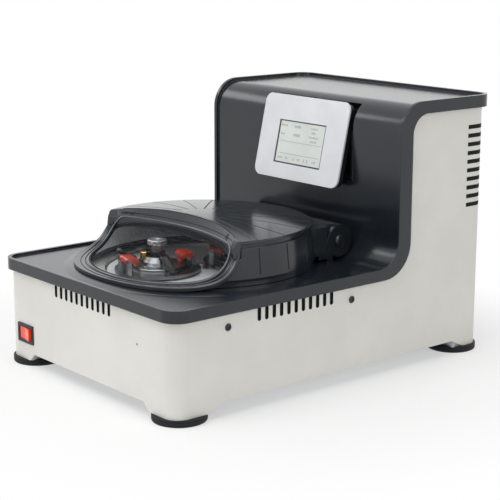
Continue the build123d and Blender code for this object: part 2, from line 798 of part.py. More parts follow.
hood_liner = liner_form.part - visor_cut.part - strip_room.part
export_node(hood_liner, "hood_liner")

# ---- display: tilting panel with silver plate, dark shell and screen
lean = math.radians(display_tilt)
display_plane = Plane(origin=(display_x, display_top_y, display_top_z), x_dir=(1, 0, 0),
                      z_dir=(0, -math.cos(lean), math.sin(lean)))
screen_wide = 91.0
screen_high = 58.0
screen_x = -1.2
screen_drop = 63.0
pivot_y = 110.0
pivot_z = 314.0
pivot_radius = 2.5
shell_high = 108.0
shell_drop = 56.0
lug_outer = shell_wide / 2 - 1.0
lug_thick = 7.0
ear_inner = lug_outer + 1.5
ear_outer = ear_inner + 3.5
with BuildPart() as display_plate:
    with BuildSketch(display_plane):
        with Locations((0, -display_height / 2)):
            RectangleRounded(display_width, display_height, 12)
        with Locations((screen_x, -screen_drop)):
            Rectangle(screen_wide + 0.4, screen_high + 0.4, mode=Mode.SUBTRACT)
    extrude(amount=-plate_sheet)
export_node(display_plate.part, "display_plate")

with BuildPart() as display_screen:
    with BuildSketch(display_plane.offset(-0.6)):
        with Locations((screen_x, -screen_drop)):
            Rectangle(screen_wide, screen_high)
    extrude(amount=-(plate_sheet - 0.6))
export_node(display_screen.part, "display_screen")

with BuildPart() as display_housing:
    with BuildSketch(display_plane.offset(-plate_sheet)):
        with Locations((0, -shell_drop)):
            RectangleRounded(shell_wide, shell_high, 10)
    extrude(amount=-shell_depth)
    with BuildSketch(display_plane.offset(-plate_sheet)):
        with Locations((screen_x, -screen_drop)):
            Rectangle(screen_wide - 6, screen_high - 6)
    extrude(amount=-shell_depth + 2, mode=Mode.SUBTRACT)
    for side in (-1, 1):
        with BuildSketch(Plane.YZ.offset(display_x + side * (lug_outer - lug_thick / 2))):
            with BuildLine():
                Polyline((pivot_y, pivot_z - 5), (98, pivot_z - 9), (98, pivot_z + 5), (pivot_y, pivot_z + 5),
                         close=True)
            make_face()
            with Locations((pivot_y, pivot_z)):
                Circle(5)
        extrude(amount=lug_thick / 2, both=True)
        with BuildSketch(Plane.YZ.offset(display_x + side * lug_outer)):
            with Locations((pivot_y, pivot_z)):
                Circle(pivot_radius)
        extrude(amount=side * (ear_outer - lug_outer))
export_node(display_housing.part, "display_housing")

bracket_front = front_face + cover_sheet + fit
bracket_back = 126.0
bracket_low = pocket_low + fit
with BuildPart() as display_bracket:
    with BuildSketch(Plane.YZ.offset(display_x)):
        with BuildLine():
            Polyline((bracket_front, bracket_low), (bracket_back, bracket_low), (bracket_back, 322),
                     (103, 322), (103, 304), (bracket_front, 296), close=True)
        make_face()
    extrude(amount=ear_outer, both=True)
    with Locations((display_x, bracket_back - 2 - 30, bracket_low + 3 + 100)):
        Box(2 * ear_inner, 60, 200, mode=Mode.SUBTRACT)
    with BuildSketch(Plane.YZ):
        with Locations((pivot_y, pivot_z)):
            Circle(pivot_radius + running)
    extrude(amount=width, both=True, mode=Mode.SUBTRACT)
export_node(display_bracket.part, "display_bracket")

# ---- motor, belt drive and main shaft
plate_low = 46.0
plate_high = 52.0
motor_radius = 55.0
motor_high = 180.0
with BuildPart() as motor_mount:
    with BuildSketch(Plane.XY.offset(plate_low)):
        with Locations((0, motor_y)):
            RectangleRounded(140, 128, 8)
            Circle(12, mode=Mode.SUBTRACT)
    extrude(amount=plate_high - plate_low)
    with BuildSketch(Plane.XY.offset(edge_low + tray_thick)):
        with Locations((0, motor_y)):
            with GridLocations(116, 104, 2, 2):
                Circle(post_radius)
    extrude(amount=plate_low - edge_low - tray_thick)
export_node(motor_mount.part, "motor_mount")

with BuildPart() as motor:
    with BuildSketch(Plane.XY.offset(plate_high)):
        with Locations((0, motor_y)):
            Circle(motor_radius + 5)
    extrude(amount=6)
    with BuildSketch(Plane.XY.offset(plate_high + 6)):
        with Locations((0, motor_y)):
            Circle(motor_radius)
            with PolarLocations(motor_radius, 16):
                Rectangle(6, 3, mode=Mode.SUBTRACT)
    extrude(amount=motor_high - plate_high - 6)
    with BuildSketch(Plane.XY.offset(plate_high)):
        with Locations((0, motor_y)):
            Circle(6 + running)
    extrude(amount=20, mode=Mode.SUBTRACT)
export_node(motor.part, "motor")

with BuildPart() as motor_rotor:
    with BuildSketch(Plane.XY.offset(22)):
        with Locations((0, motor_y)):
            Circle(6)
    extrude(amount=plate_high + 18 - 22)
    with BuildSketch(Plane.XY.offset(drive_low)):
        with Locations((0, motor_y)):
            Circle(motor_pulley_radius)
    extrude(amount=drive_high - drive_low)
export_node(motor_rotor.part, "motor_rotor")


def belt_loop(first, first_radius, second, second_radius):
    # open belt round two pulleys, as a flat ring
    with BuildSketch() as outer:
        with BuildLine():
            CenterArc(first, first_radius + belt_thick, 0, 360)
            CenterArc(second, second_radius + belt_thick, 0, 360)
        make_hull()
    with BuildSketch() as inner:
        with BuildLine():
            CenterArc(first, first_radius, 0, 360)
            CenterArc(second, second_radius, 0, 360)
        make_hull()
    return outer.sketch - inner.sketch


main_loop = belt_loop((0, mill_y), drive_pulley_radius + fit, (0, motor_y), motor_pulley_radius + fit)
with BuildPart() as drive_belt:
    extrude(Plane.XY.offset((drive_low + drive_high - 8) / 2) * main_loop, amount=8)
export_node(drive_belt.part, "drive_belt")

with BuildPart() as drive_pulley:
    with BuildSketch(Plane.XY.offset(drive_low)):
        with Locations((0, mill_y)):
            Circle(drive_pulley_radius)
            Circle(shaft_radius + running, mode=Mode.SUBTRACT)
            with PolarLocations(30, 6):
                Circle(9, mode=Mode.SUBTRACT)
    extrude(amount=drive_high - drive_low)
export_node(drive_pulley.part, "drive_pulley")

washer_radius = 14.0
washer_high = 1.6
bolt_head = station_radius - flange_radius - 0.5
bolt_high = 4.0
with BuildPart() as main_shaft:
    with BuildSketch(Plane.XY.offset(22)):
        with Locations((0, mill_y)):
            Circle(shaft_radius)
    extrude(amount=plate_top - 22)
    with BuildSketch(Plane.XY.offset(plate_top)):
        with Locations((0, mill_y)):
            Circle(washer_radius)
    extrude(amount=washer_high)
    with BuildSketch(Plane.XY.offset(plate_top + washer_high)):
        with Locations((0, mill_y)):
            Circle(bolt_head)
    extrude(amount=bolt_high)
    chamfer(main_shaft.edges().group_by(Axis.Z)[-1], length=0.6)
    with BuildSketch(Plane.XY.offset(plate_top + washer_high + bolt_high)):
        with Locations((0, mill_y)):
            RegularPolygon(2.6, 6)
    extrude(amount=-2.5, mode=Mode.SUBTRACT)
export_node(main_shaft.part, "main_shaft")

housing_radius = housing_bore - fit
bearing_radius = 17.0
with BuildPart() as bearing_housing:
    with BuildSketch(mill_plane):
        with BuildLine():
            Polyline((bearing_radius, drive_high + 2), (housing_radius, drive_high + 2),
                     (housing_radius, tub_floor + tub_wall), (38, tub_floor + tub_wall),
                     (38, tub_floor + tub_wall + 4), (housing_radius, tub_floor + tub_wall + 4),
                     (housing_radius, pulley_low), (10, pulley_low), (10, pulley_low - 2),
                     (bearing_radius, pulley_low - 2), close=True)
        make_face()
    revolve(axis=mill_axis)
export_node(bearing_housing.part, "bearing_housing")

with BuildPart() as main_bearings:
    for low in (drive_high + 2.5, pulley_low - 9.5):
        with BuildSketch(Plane.XY.offset(low)):
            with Locations((0, mill_y)):
                Circle(bearing_radius - running)
                Circle(shaft_radius + running, mode=Mode.SUBTRACT)
        extrude(amount=6.5)
export_node(main_bearings.part, "main_bearings")

with BuildPart() as fixed_pulley:
    with BuildSketch(Plane.XY.offset(pulley_low)):
        with Locations((0, mill_y)):
            Circle(fixed_pulley_radius)
            Circle(10, mode=Mode.SUBTRACT)
    extrude(amount=pulley_high - pulley_low)
export_node(fixed_pulley.part, "fixed_pulley")

# ---- sun disk carrying both bowl stations
station_turns = (station_angle, station_angle + 180.0)
station_spots = [(station_radius * math.cos(math.radians(turn)),
                  mill_y + station_radius * math.sin(math.radians(turn))) for turn in station_turns]
bearing_outer = cup_radius + 6.0
collar_low = 115.0
hub_low = 84.0
with BuildPart() as sun_disk:
    with BuildSketch(Plane.XY.offset(plate_top - plate_thick)):
        with Locations((0, mill_y)):
            Circle(plate_radius)
    extrude(amount=plate_thick)
    with BuildSketch(Plane.XY.offset(collar_low)):
        with Locations(*station_spots):
            Circle(bearing_outer + 4)
    extrude(amount=plate_top - plate_thick - collar_low)
    with BuildSketch(Plane.XY.offset(hub_low)):
        with Locations((0, mill_y)):
            Circle(17.0)
    extrude(amount=plate_top - plate_thick - hub_low)
    with BuildSketch(Plane.XY.offset(hub_low)):
        with Locations((0, mill_y)):
            Circle(shaft_radius + running)
    extrude(amount=plate_top - hub_low, mode=Mode.SUBTRACT)
    with BuildSketch(Plane.XY.offset(collar_low)):
        with Locations(*station_spots):
            Circle(bearing_outer + running)
    extrude(amount=plate_top - collar_low, mode=Mode.SUBTRACT)
export_node(sun_disk.part, "sun_disk")

with BuildPart() as planet_bearings:
    with BuildSketch(Plane.XY.offset(collar_low + 0.5)):
        with Locations(*station_spots):
            Circle(bearing_outer)
            Circle(cup_radius + running, mode=Mode.SUBTRACT)
    extrude(amount=plate_top - collar_low - 1)
export_node(planet_bearings.part, "planet_bearings")

belt_one = belt_loop((0, mill_y), fixed_pulley_radius + fit, station_spots[0], planet_pulley + fit)
belt_two = belt_loop((0, mill_y), fixed_pulley_radius + fit, station_spots[1], planet_pulley + fit)
with BuildPart() as planet_belts:
    extrude(Plane.XY.offset(pulley_low + 1) * belt_one, amount=belt_width)
    extrude(Plane.XY.offset(pulley_high - 1 - belt_width) * belt_two, amount=belt_width)
export_node(planet_belts.part, "planet_belts")

# ---- one bowl station, drawn on its own axis
latch_turns = (-105.0, 75.0)
arm_turns = (-15.0, 165.0)
lever_turn = -138.0
latch_pin_reach = 43.5
latch_pin_z = 148.5
latch_pin_radius = 1.4
pad_inner = 29.2
pad_outer = 46.2
pad_half = 13.0
pad_low = 146.3
pad_high = 152.3
ear_gap = 1.0
ear_thick = 3.0
ear_half = 2.8
ear_top = latch_pin_z + ear_half
lid_low = flange_top + 1.0
lid_thick = 3.5
lid_top = lid_low + lid_thick
boss_top = 150.0
knob_low = 164.5
knob_high = 171.3
knob_radius = 12.4
column_radius = 6.5
valve_reach = 16.3
valve_turn = -135.0
valve_low = 146.0
valve_high = 155.0
valve_corner = 5.6
valve_seat = valve_corner + 0.4
bowl_radius = cup_inner - 0.4
bowl_wall = 6.5
lever_reach = 31.0
lever_z = 144.0
lever_tip = 48.6
lever_tip_z = 154.2
lever_ball = 4.0
with BuildPart() as bowl_carrier:
    with BuildSketch(Plane.XZ):
        with BuildLine():
            Polyline((0, 52), (8, 52), (8, pulley_low), (planet_pulley, pulley_low), (planet_pulley, pulley_high),
                     (10, pulley_high), (10, cup_low), (cup_radius, cup_low),
                     (cup_radius, flange_top - flange_thick), (flange_radius, flange_top - flange_thick),
                     (flange_radius, flange_top), (cup_inner, flange_top), (cup_inner, cup_low + 3),
                     (0, cup_low + 3), close=True)
        make_face()
    revolve(axis=Axis.Z)
    for turn in latch_turns:
        with Locations(Location((0, 0, 0), (0, 0, turn))):
            for side in (-1, 1):
                with Locations((latch_pin_reach, side * (pad_half + ear_gap + ear_thick / 2),
                                (flange_top - 1 + ear_top) / 2)):
                    Box(2 * ear_half, ear_thick, ear_top - flange_top + 1)
            with Locations((latch_pin_reach, 0, latch_pin_z)):
                Cylinder(latch_pin_radius + running, 2 * (pad_half + ear_gap + ear_thick + 1),
                         rotation=(90, 0, 0), mode=Mode.SUBTRACT)

with BuildPart() as grinding_bowl:
    with BuildSketch(Plane.XZ):
        with BuildLine():
            Polyline((0, cup_low + 3), (bowl_radius, cup_low + 3), (bowl_radius, lid_low),
                     (bowl_radius - bowl_wall, lid_low), (bowl_radius - bowl_wall, 98))
            ThreePointArc((bowl_radius - bowl_wall, 98), (bowl_radius - bowl_wall - 3, 91), (20, 88))
            Polyline((20, 88), (0, 88), (0, cup_low + 3))
        make_face()
    revolve(axis=Axis.Z)

with BuildPart() as bowl_lid:
    with BuildSketch(Plane.XZ):
        with BuildLine():
            Polyline((0, lid_low - 5), (bowl_radius - bowl_wall - 0.4, lid_low - 5),
                     (bowl_radius - bowl_wall - 0.4, lid_low), (bowl_radius, lid_low), (bowl_radius, lid_top - 1),
                     (bowl_radius - 1, lid_top), (19.5, lid_top), (18.5, lid_top + 4), (14, boss_top),
                     (0, boss_top), close=True)
        make_face()
    revolve(axis=Axis.Z)
    with Locations(Location((0, 0, 0), (0, 0, valve_turn))):
        with Locations((valve_reach, 0, (lid_low + valve_low) / 2)):
            Cylinder(valve_seat, valve_low - lid_low)
        with Locations((valve_reach, 0, valve_low + 10)):
            Cylinder(valve_seat, 20, mode=Mode.SUBTRACT)
    with Locations((-31, -2, (lid_low + 154) / 2)):
        Cylinder(2.0, 154 - lid_low)
    with Locations((-31, -2, 154)):
        Cylinder(7.2, 2)
    with Locations(Location((0, 0, 0), (0, 0, lever_turn))):
        with Locations((lever_reach, 0, (lid_low + lever_z + 3) / 2)):
            Box(7, 10, lever_z + 3 - lid_low)
        with Locations((lever_reach + 2, 0, lid_top + 10)):
            Box(14, 6.6, 20, mode=Mode.SUBTRACT)
        with Locations((lever_reach, 0, lever_z)):
            Cylinder(1.5 + running, 20, rotation=(90, 0, 0), mode=Mode.SUBTRACT)

with BuildPart() as lid_knob:
    with BuildSketch(Plane.XY.offset(boss_top)):
        Circle(column_radius)
    extrude(amount=knob_low - boss_top)
    with BuildSketch(Plane.XY.offset(knob_low)):
        Circle(knob_radius)
    extrude(amount=knob_high - knob_low)
    chamfer(lid_knob.edges().group_by(Axis.Z)[-1], length=1.0)
    with BuildSketch(Plane.XY.offset(knob_high)):
        RegularPolygon(4.5, 6)
    extrude(amount=-3, mode=Mode.SUBTRACT)

with BuildPart() as gas_valve:
    with BuildSketch(Plane.XY.offset(valve_low)):
        RegularPolygon(valve_corner, 6)
    extrude(amount=valve_high - valve_low)
    chamfer(gas_valve.edges().group_by(Axis.Z)[-1], length=0.8)
    with BuildSketch(Plane.XY.offset(valve_high)):
        Circle(1.6)
    extrude(amount=-4, mode=Mode.SUBTRACT)

with BuildPart() as clamp_bow:
    for turn in arm_turns:
        with BuildSketch(wall_plane(turn)):
            with BuildLine():
                Polyline((7.5, 156), (7.5, 151), (22, 149.5), (38, 142), (41.5, flange_top), (50, flange_top),
                         (50, flange_top + 4), (45, 145), (26, 154), close=True)
            make_face()
        extrude(amount=3, both=True)
    with BuildSketch(Plane.XY.offset(151)):
        Circle(10.2)
    extrude(amount=5)
    with BuildSketch(Plane.XY.offset(140)):
        Circle(column_radius + running)
    extrude(amount=30, mode=Mode.SUBTRACT)

with BuildPart() as clamp_lever:
    with BuildSketch(wall_plane(0)):
        with BuildLine():
            Polyline((lever_reach - 2.6, lever_z - 2.2), (lever_reach + 2.8, lever_z - 2.2),
                     (lever_reach + 7, lever_z + 3), (lever_tip - 3.4, lever_tip_z - 4.6),
                     (lever_tip + 1.0, lever_tip_z - 1.6), (lever_tip - 1.4, lever_tip_z + 1.2),
                     (lever_tip - 6.4, lever_tip_z - 1.4), (lever_reach + 5, lever_z + 7.4),
                     (lever_reach - 2.6, lever_z + 4), close=True)
        make_face()
    extrude(amount=3, both=True)
    with Locations((lever_tip, 0, lever_tip_z)):
        Sphere(lever_ball)
    with Locations((lever_reach, 0, lever_z)):
        Cylinder(1.5, 9.6, rotation=(90, 0, 0))

with BuildPart() as latch:
    with BuildSketch(wall_plane(0)):
        with BuildLine():
            Polyline((pad_outer, pad_low), (pad_outer, pad_high - 1.5), (pad_outer - 2, pad_high),
                     (pad_inner + 3, pad_high), (pad_inner, pad_high - 2), (pad_inner, pad_low), close=True)
        make_face()
    extrude(amount=pad_half, both=True)
    with BuildSketch(wall_plane(0)):
        with BuildLine():
            Polyline((pad_inner, pad_low + 1), (pad_inner, lid_top + fit), (pad_inner + 4, lid_top + fit),
                     (pad_inner + 8, pad_low + 1), close=True)
        make_face()
    extrude(amount=5, both=True)
    with Locations((latch_pin_reach, 0, latch_pin_z)):
        Cylinder(latch_pin_radius, 2 * (pad_half + ear_gap + ear_thick), rotation=(90, 0, 0))

station_phases = (0.0, second_phase)
for index in (0, 1):
    spot = Location((station_spots[index][0], station_spots[index][1], 0), (0, 0, station_phases[index]))
    number = str(index + 1)
    export_node(spot * bowl_carrier.part, "bowl_carrier_" + number)
    export_node(spot * grinding_bowl.part, "grinding_bowl_" + number)
    export_node(spot * bowl_lid.part, "bowl_lid_" + number)
    export_node(spot * lid_knob.part, "lid_knob_" + number)
    valve_turned = Location((0, 0, 0), (0, 0, valve_turn)) * Location((valve_reach, 0, 0))
    export_node(spot * valve_turned * gas_valve.part, "gas_valve_" + number)
    export_node(spot * clamp_bow.part, "clamp_bow_" + number)
    export_node(spot * Location((0, 0, 0), (0, 0, lever_turn)) * clamp_lever.part, "clamp_lever_" + number)
    for letter, turn in zip("ab", latch_turns):
        export_node(spot * Location((0, 0, 0), (0, 0, turn)) * latch.part, "latch_" + number + letter)

# ---- electrics: inverter on the left wall, control board on the right wall
board_gap = 6.0
with BuildPart() as inverter:
    with Locations((-inside_half + fit + 32, 185, 150)):
        Box(64, 90, 150)
    with Locations((-inside_half + fit + 67, 185, 150)):
        with GridLocations(1, 12, 1, 7):
            Box(8, 3, 130)
export_node(inverter.part, "inverter")

with BuildPart() as control_board:
    with Locations((inside_half - fit - board_gap - 1, 180, 180)):
        Box(2, 100, 140)
    with Locations((inside_half - fit - board_gap / 2, 180, 180)):
        with GridLocations(1, 90, 1, 1):
            Box(board_gap, 6, 6)
    for shift_y in (-42, 42):
        for shift_z in (-62, 62):
            with Locations((inside_half - fit - board_gap / 2, 180 + shift_y, 180 + shift_z)):
                Box(board_gap, 7, 7)
    with Locations((inside_half - fit - board_gap - 2 - 5, 165, 205)):
        Box(10, 40, 30)
    with Locations((inside_half - fit - board_gap - 2 - 9, 195, 150)):
        Cylinder(10, 18, rotation=(0, 90, 0))
export_node(control_board.part, "control_board")

# ---- cooling fan behind the rear panel
fan_depth = 25.0
fan_back = inside_back - sheet
hub_radius = 17.0
blade_count = 7
with BuildPart() as fan_frame:
    with BuildSketch(Plane.XZ.offset(-fan_back)):
        with Locations((fan_x, fan_z)):
            RectangleRounded(fan_size, fan_size, 5)
            Circle(fan_bore, mode=Mode.SUBTRACT)
    extrude(amount=fan_depth)
    with BuildSketch(Plane.XZ.offset(-fan_back + fan_depth - 3)):
        with Locations((fan_x, fan_z)):
            Circle(hub_radius)
            with PolarLocations(0, 4):
                with Locations((fan_bore / 2, 0)):
                    Rectangle(fan_bore + 1, 4)
    extrude(amount=3)
    with BuildSketch(Plane.XZ.offset(-fan_back + fan_depth - 3)):
        with Locations((fan_x, fan_z)):
            Circle(2.0)
    extrude(amount=-14)
export_node(fan_frame.part, "fan_frame")

with BuildPart() as fan_rotor:
    with BuildSketch(Plane.XZ.offset(-fan_back + 5)):
        with Locations((fan_x, fan_z)):
            Circle(hub_radius)
    extrude(amount=15)
    for blade in range(blade_count):
        turn = 360.0 * blade / blade_count
        with Locations(Location((fan_x, fan_back - 12.5, fan_z)) * Location((0, 0, 0), (0, turn, 0))
                       * Location((hub_radius + 11.5, 0, 0), (38, 0, 0))):
            Box(25, 1.8, 17)
    with BuildSketch(Plane.XZ.offset(-fan_back + 5)):
        with Locations((fan_x, fan_z)):
            Circle(2.0 + running)
    extrude(amount=20, mode=Mode.SUBTRACT)
export_node(fan_rotor.part, "fan_rotor")
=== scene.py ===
import math
import bmesh
import bpy
from mathutils import Matrix, Vector


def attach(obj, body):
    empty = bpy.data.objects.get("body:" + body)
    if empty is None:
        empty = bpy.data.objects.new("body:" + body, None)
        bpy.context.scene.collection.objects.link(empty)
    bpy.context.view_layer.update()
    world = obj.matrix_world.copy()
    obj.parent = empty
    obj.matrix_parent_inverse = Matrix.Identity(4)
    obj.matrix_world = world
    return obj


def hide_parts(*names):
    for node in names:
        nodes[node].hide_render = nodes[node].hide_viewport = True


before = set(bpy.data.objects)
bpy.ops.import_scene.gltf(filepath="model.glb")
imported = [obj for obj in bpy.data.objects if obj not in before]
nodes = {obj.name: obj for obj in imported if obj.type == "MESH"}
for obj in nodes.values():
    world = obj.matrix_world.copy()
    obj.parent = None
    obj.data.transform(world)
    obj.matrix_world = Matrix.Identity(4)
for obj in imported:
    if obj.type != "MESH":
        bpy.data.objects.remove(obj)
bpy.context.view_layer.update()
mm = 0.001
print("frame loaded:", len(nodes), "nodes")


def toLinear(code):
    # sRGB hex code to Blender's linear colour
    channels = [int(code[i:i + 2], 16) / 255 for i in (0, 2, 4)]
    return [c / 12.92 if c <= 0.04045 else ((c + 0.055) / 1.055) ** 2.4 for c in channels] + [1.0]


def addNode(tree, kind, settings=None, inputs=None):
    # one node with its settings, and its inputs as plain values or as links
    node = tree.nodes.new("ShaderNode" + kind)
    for name, value in (settings or {}).items():
        setattr(node, name, value)
    for name, value in (inputs or {}).items():
        if isinstance(value, bpy.types.NodeSocket):
            tree.links.new(value, node.inputs[name])
        else:
            node.inputs[name].default_value = value
    return node


def startMaterial(name):
    # a new material, its shader and its place on the object in millimetres
    material = bpy.data.materials.new(name)
    material.use_nodes = True
    tree = material.node_tree
    place = addNode(tree, "TexCoord")
    inMm = addNode(tree, "VectorMath", {"operation": "SCALE"}, {0: place.outputs["Object"], "Scale": 1000.0})
    return material, tree, tree.nodes["Principled BSDF"], inMm.outputs[0]


def surfaceFinish(name, spec):
    # two close tones that drift over a patch, a grain that moves gloss and relief, and softened edges
    material, tree, shader, inMm = startMaterial(name)
    stretched = addNode(tree, "VectorMath", {"operation": "MULTIPLY"},
                        {0: inMm, 1: [s / spec["grain"] for s in spec.get("along", (1, 1, 1))]})
    grain = addNode(tree, "TexNoise", None, {"Vector": stretched.outputs[0], "Scale": 1.0,
                                             "Detail": spec.get("detail", 2.0), "Roughness": 0.55})
    drift = addNode(tree, "TexNoise", None, {"Vector": inMm, "Scale": 1 / spec["patch"], "Detail": 3.0})
    tone = addNode(tree, "ValToRGB", None, {"Fac": drift.outputs["Fac"]})
    tone.color_ramp.elements[0].position = 0.35
    tone.color_ramp.elements[1].position = 0.65
    tone.color_ramp.elements[0].color = toLinear(spec["dark"])
    tone.color_ramp.elements[1].color = toLinear(spec["light"])
    gloss = addNode(tree, "MapRange", None, {"Value": grain.outputs["Fac"], "From Min": 0.3, "From Max": 0.7,
                                             "To Min": spec["rough"] - spec.get("play", 0.04),
                                             "To Max": spec["rough"] + spec.get("play", 0.04)})
    bump = addNode(tree, "Bump", None, {"Height": grain.outputs["Fac"], "Distance": spec["relief"] * mm})
    if spec.get("edge"):
        rounded = addNode(tree, "Bevel", {"samples": 6}, {"Radius": spec["edge"] * mm})
        tree.links.new(rounded.outputs["Normal"], bump.inputs["Normal"])
    tree.links.new(tone.outputs["Color"], shader.inputs["Base Color"])
    tree.links.new(gloss.outputs["Result"], shader.inputs["Roughness"])
    tree.links.new(bump.outputs["Normal"], shader.inputs["Normal"])
    shader.inputs["Metallic"].default_value = spec.get("metallic", 0.0)
    if not spec.get("metallic"):
        shader.inputs["Specular IOR Level"].default_value = spec.get("specular", 0.5)
        shader.inputs["Coat Weight"].default_value = spec.get("coat", 0.0)
        shader.inputs["Coat Roughness"].default_value = spec.get("coatRough", 0.1)
    return material


def dress(material, *names):
    for name in names:
        for place in nodes[name].material_slots:
            place.material = material


# powder coat on sheet steel: warm off-white, even, with a very fine orange peel
powderCoat = surfaceFinish("powderCoatOffWhite", {
    "light": "E3E2DC", "dark": "DDDCD6", "patch": 70, "grain": 0.8, "relief": 0.012, "rough": 0.42,
    "edge": 0.4})
# moulded ABS, charcoal: fine grain that only shows where light grazes it
charcoalAbs = surfaceFinish("charcoalAbs", {
    "light": "1D2329", "dark": "181E24", "patch": 60, "grain": 0.6, "relief": 0.014, "rough": 0.2,
    "edge": 1.4})
# the hood's moulding: the same plastic a little finer, so it mirrors more
hoodAbs = surfaceFinish("hoodAbs", {
    "light": "20262C", "dark": "1B2127", "patch": 50, "grain": 0.5, "relief": 0.008, "rough": 0.17,
    "edge": 1.0})
# glazing frame: smooth moulded plastic with a clear soft shine
frameAbs = surfaceFinish("glazingFrameAbs", {
    "light": "2F343A", "dark": "2A2F34", "patch": 50, "grain": 0.5, "relief": 0.004, "rough": 0.22,
    "edge": 0.9})
# the lip of the glazing frame: painted highlight, a lighter grey than the frame's plastic, with a low roughness
# that also catches real light
lipHighlightAbs = surfaceFinish("frameLipPaintedHighlight", {
    "light": "5C636A", "dark": "545B62", "patch": 40, "grain": 0.5, "relief": 0.002, "rough": 0.12})
# matt black rubber: its softened edges catch a little light
matRubber = surfaceFinish("mattBlackRubber", {
    "light": "15171A", "dark": "0F1113", "patch": 20, "grain": 0.9, "relief": 0.04, "rough": 0.6,
    "edge": 1.0, "specular": 0.3})
# black polyamide of switch, inlet, lock and display back: fine grain, half matt
blackPolyamide = surfaceFinish("blackPolyamide", {
    "light": "17181A", "dark": "111214", "patch": 30, "grain": 0.5, "relief": 0.015, "rough": 0.4,
    "edge": 0.5})
# zinc plated steel sheet: cloudy grey with a faint rolling direction
zincSheet = surfaceFinish("zincPlatedSheet", {
    "light": "B9BCBE", "dark": "9FA3A7", "patch": 9, "grain": 0.5, "along": (1, 0.06, 1), "relief": 0.006,
    "rough": 0.36, "play": 0.1, "metallic": 1.0, "edge": 0.3})
# spun stainless steel of the mill tub: fine rings round it spread its shine sideways
spunStainless = surfaceFinish("spunStainless", {
    "light": "CFCFCC", "dark": "BDBDBB", "patch": 30, "grain": 0.45, "along": (0.15, 0.15, 1),
    "relief": 0.004, "rough": 0.38, "play": 0.06, "metallic": 1.0, "edge": 0.4})
# bright turned steel of shafts, screws and pins: small hard highlights
turnedSteel = surfaceFinish("turnedSteel", {
    "light": "D8D8D6", "dark": "C4C4C3", "patch": 18, "grain": 0.35, "along": (0.2, 0.2, 1),
    "relief": 0.005, "rough": 0.2, "play": 0.07, "metallic": 1.0, "edge": 0.3})
# machined aluminium of the pulleys and the bearing housing: cooler than steel, with broken shine
machinedAluminium = surfaceFinish("machinedAluminium", {
    "light": "C6C8CB", "dark": "ABAEB3", "patch": 22, "grain": 0.5, "relief": 0.008, "rough": 0.33,
    "play": 0.09, "metallic": 1.0, "edge": 0.4})
# satin lacquered aluminium of the mill disk: pale, with a soft broad shine
satinDisk = surfaceFinish("satinDiskAluminium", {
    "light": "E6E8EA", "dark": "DADDE0", "patch": 26, "grain": 0.5, "relief": 0.005, "rough": 0.42,
    "play": 0.06, "metallic": 0.12, "edge": 0.5})
# brushed steel of the clamp knobs: darker than the shafts, with fine rings
brushedKnob = surfaceFinish("brushedKnobSteel", {
    "light": "A9ABAD", "dark": "8F9194", "patch": 12, "grain": 0.35, "along": (0.3, 0.3, 1),
    "relief": 0.006, "rough": 0.3, "play": 0.08, "metallic": 1.0, "edge": 0.3})
# matt black vent inserts: painted shade that lines and widens the slots, so they read as dark lines from afar
slotShadeBlack = surfaceFinish("ventSlotPaintedShade", {
    "light": "101112", "dark": "0A0B0C", "patch": 12, "grain": 0.7, "relief": 0.02, "rough": 0.65,
    "specular": 0.15})
# black sheets behind the vents: painted shade, so that the slots look dark inside
paintedShadeSheet = surfaceFinish("paintedShadeSheet", {
    "light": "0E0F10", "dark": "08090A", "patch": 5, "grain": 0.8, "relief": 0.08, "rough": 0.9,
    "specular": 0.1})
# burnished steel of the bowl stations: dark, with satin highlights
darkStation = surfaceFinish("burnishedStationSteel", {
    "light": "8E9194", "dark": "74777B", "patch": 18, "grain": 0.4, "relief": 0.006, "rough": 0.27,
    "play": 0.08, "metallic": 1.0, "edge": 0.5})
# silver lacquer on the display plate: fine metal flake in it
silverLacquer = surfaceFinish("silverLacquer", {
    "light": "E2E3E6", "dark": "DBDCE0", "patch": 35, "grain": 0.3, "relief": 0.003, "rough": 0.3,
    "edge": 0.7, "coat": 0.35, "coatRough": 0.12})
# turned brass, slightly tarnished: the one warm metal
turnedBrass = surfaceFinish("turnedBrass", {
    "light": "D9B978", "dark": "B9924F", "patch": 4, "grain": 0.4, "relief": 0.006, "rough": 0.24,
    "play": 0.07, "metallic": 1.0, "edge": 0.3})
# burnished clamp parts: near black, oily shine
burnishedBlack = surfaceFinish("burnishedClampSteel", {
    "light": "1C1E20", "dark": "101112", "patch": 8, "grain": 0.5, "relief": 0.008, "rough": 0.24,
    "edge": 0.5})
# glossy orange-red grips, moulded on
gripRed = surfaceFinish("gripRed", {
    "light": "D8482F", "dark": "BE3822", "patch": 9, "grain": 0.6, "relief": 0.004, "rough": 0.2,
    "edge": 0.8, "coat": 0.3, "coatRough": 0.08})
# hood lining: light grey flocked sheet with dark specks
flockedLining = surfaceFinish("flockedLining", {
    "light": "E6E6E8", "dark": "B4B4B8", "patch": 1.6, "grain": 0.9, "relief": 0.05, "rough": 0.7,
    "specular": 0.2})
# motor enamel: blue-grey, with the soft gloss of thick paint
motorEnamel = surfaceFinish("motorEnamel", {
    "light": "333C48", "dark": "2A323D", "patch": 30, "grain": 1.0, "relief": 0.02, "rough": 0.38,
    "edge": 0.6})
# belt: black rubber with a woven back that keeps it dull
beltRubber = surfaceFinish("beltRubber", {
    "light": "1B1B1C", "dark": "111112", "patch": 6, "grain": 0.7, "along": (1, 1, 0.2), "relief": 0.04,
    "rough": 0.6, "specular": 0.3})
# circuit board with solder mask: glossy dark green
solderMask = surfaceFinish("solderMaskGreen", {
    "light": "1F5E37", "dark": "15492A", "patch": 7, "grain": 1.2, "relief": 0.02, "rough": 0.3,
    "edge": 0.2})
# red polycarbonate rocker: clear gloss over a deep red
rockerRed = surfaceFinish("rockerRed", {
    "light": "C4210F", "dark": "A81608", "patch": 8, "grain": 0.8, "relief": 0.003, "rough": 0.16,
    "edge": 0.6, "coat": 0.4, "coatRough": 0.05})
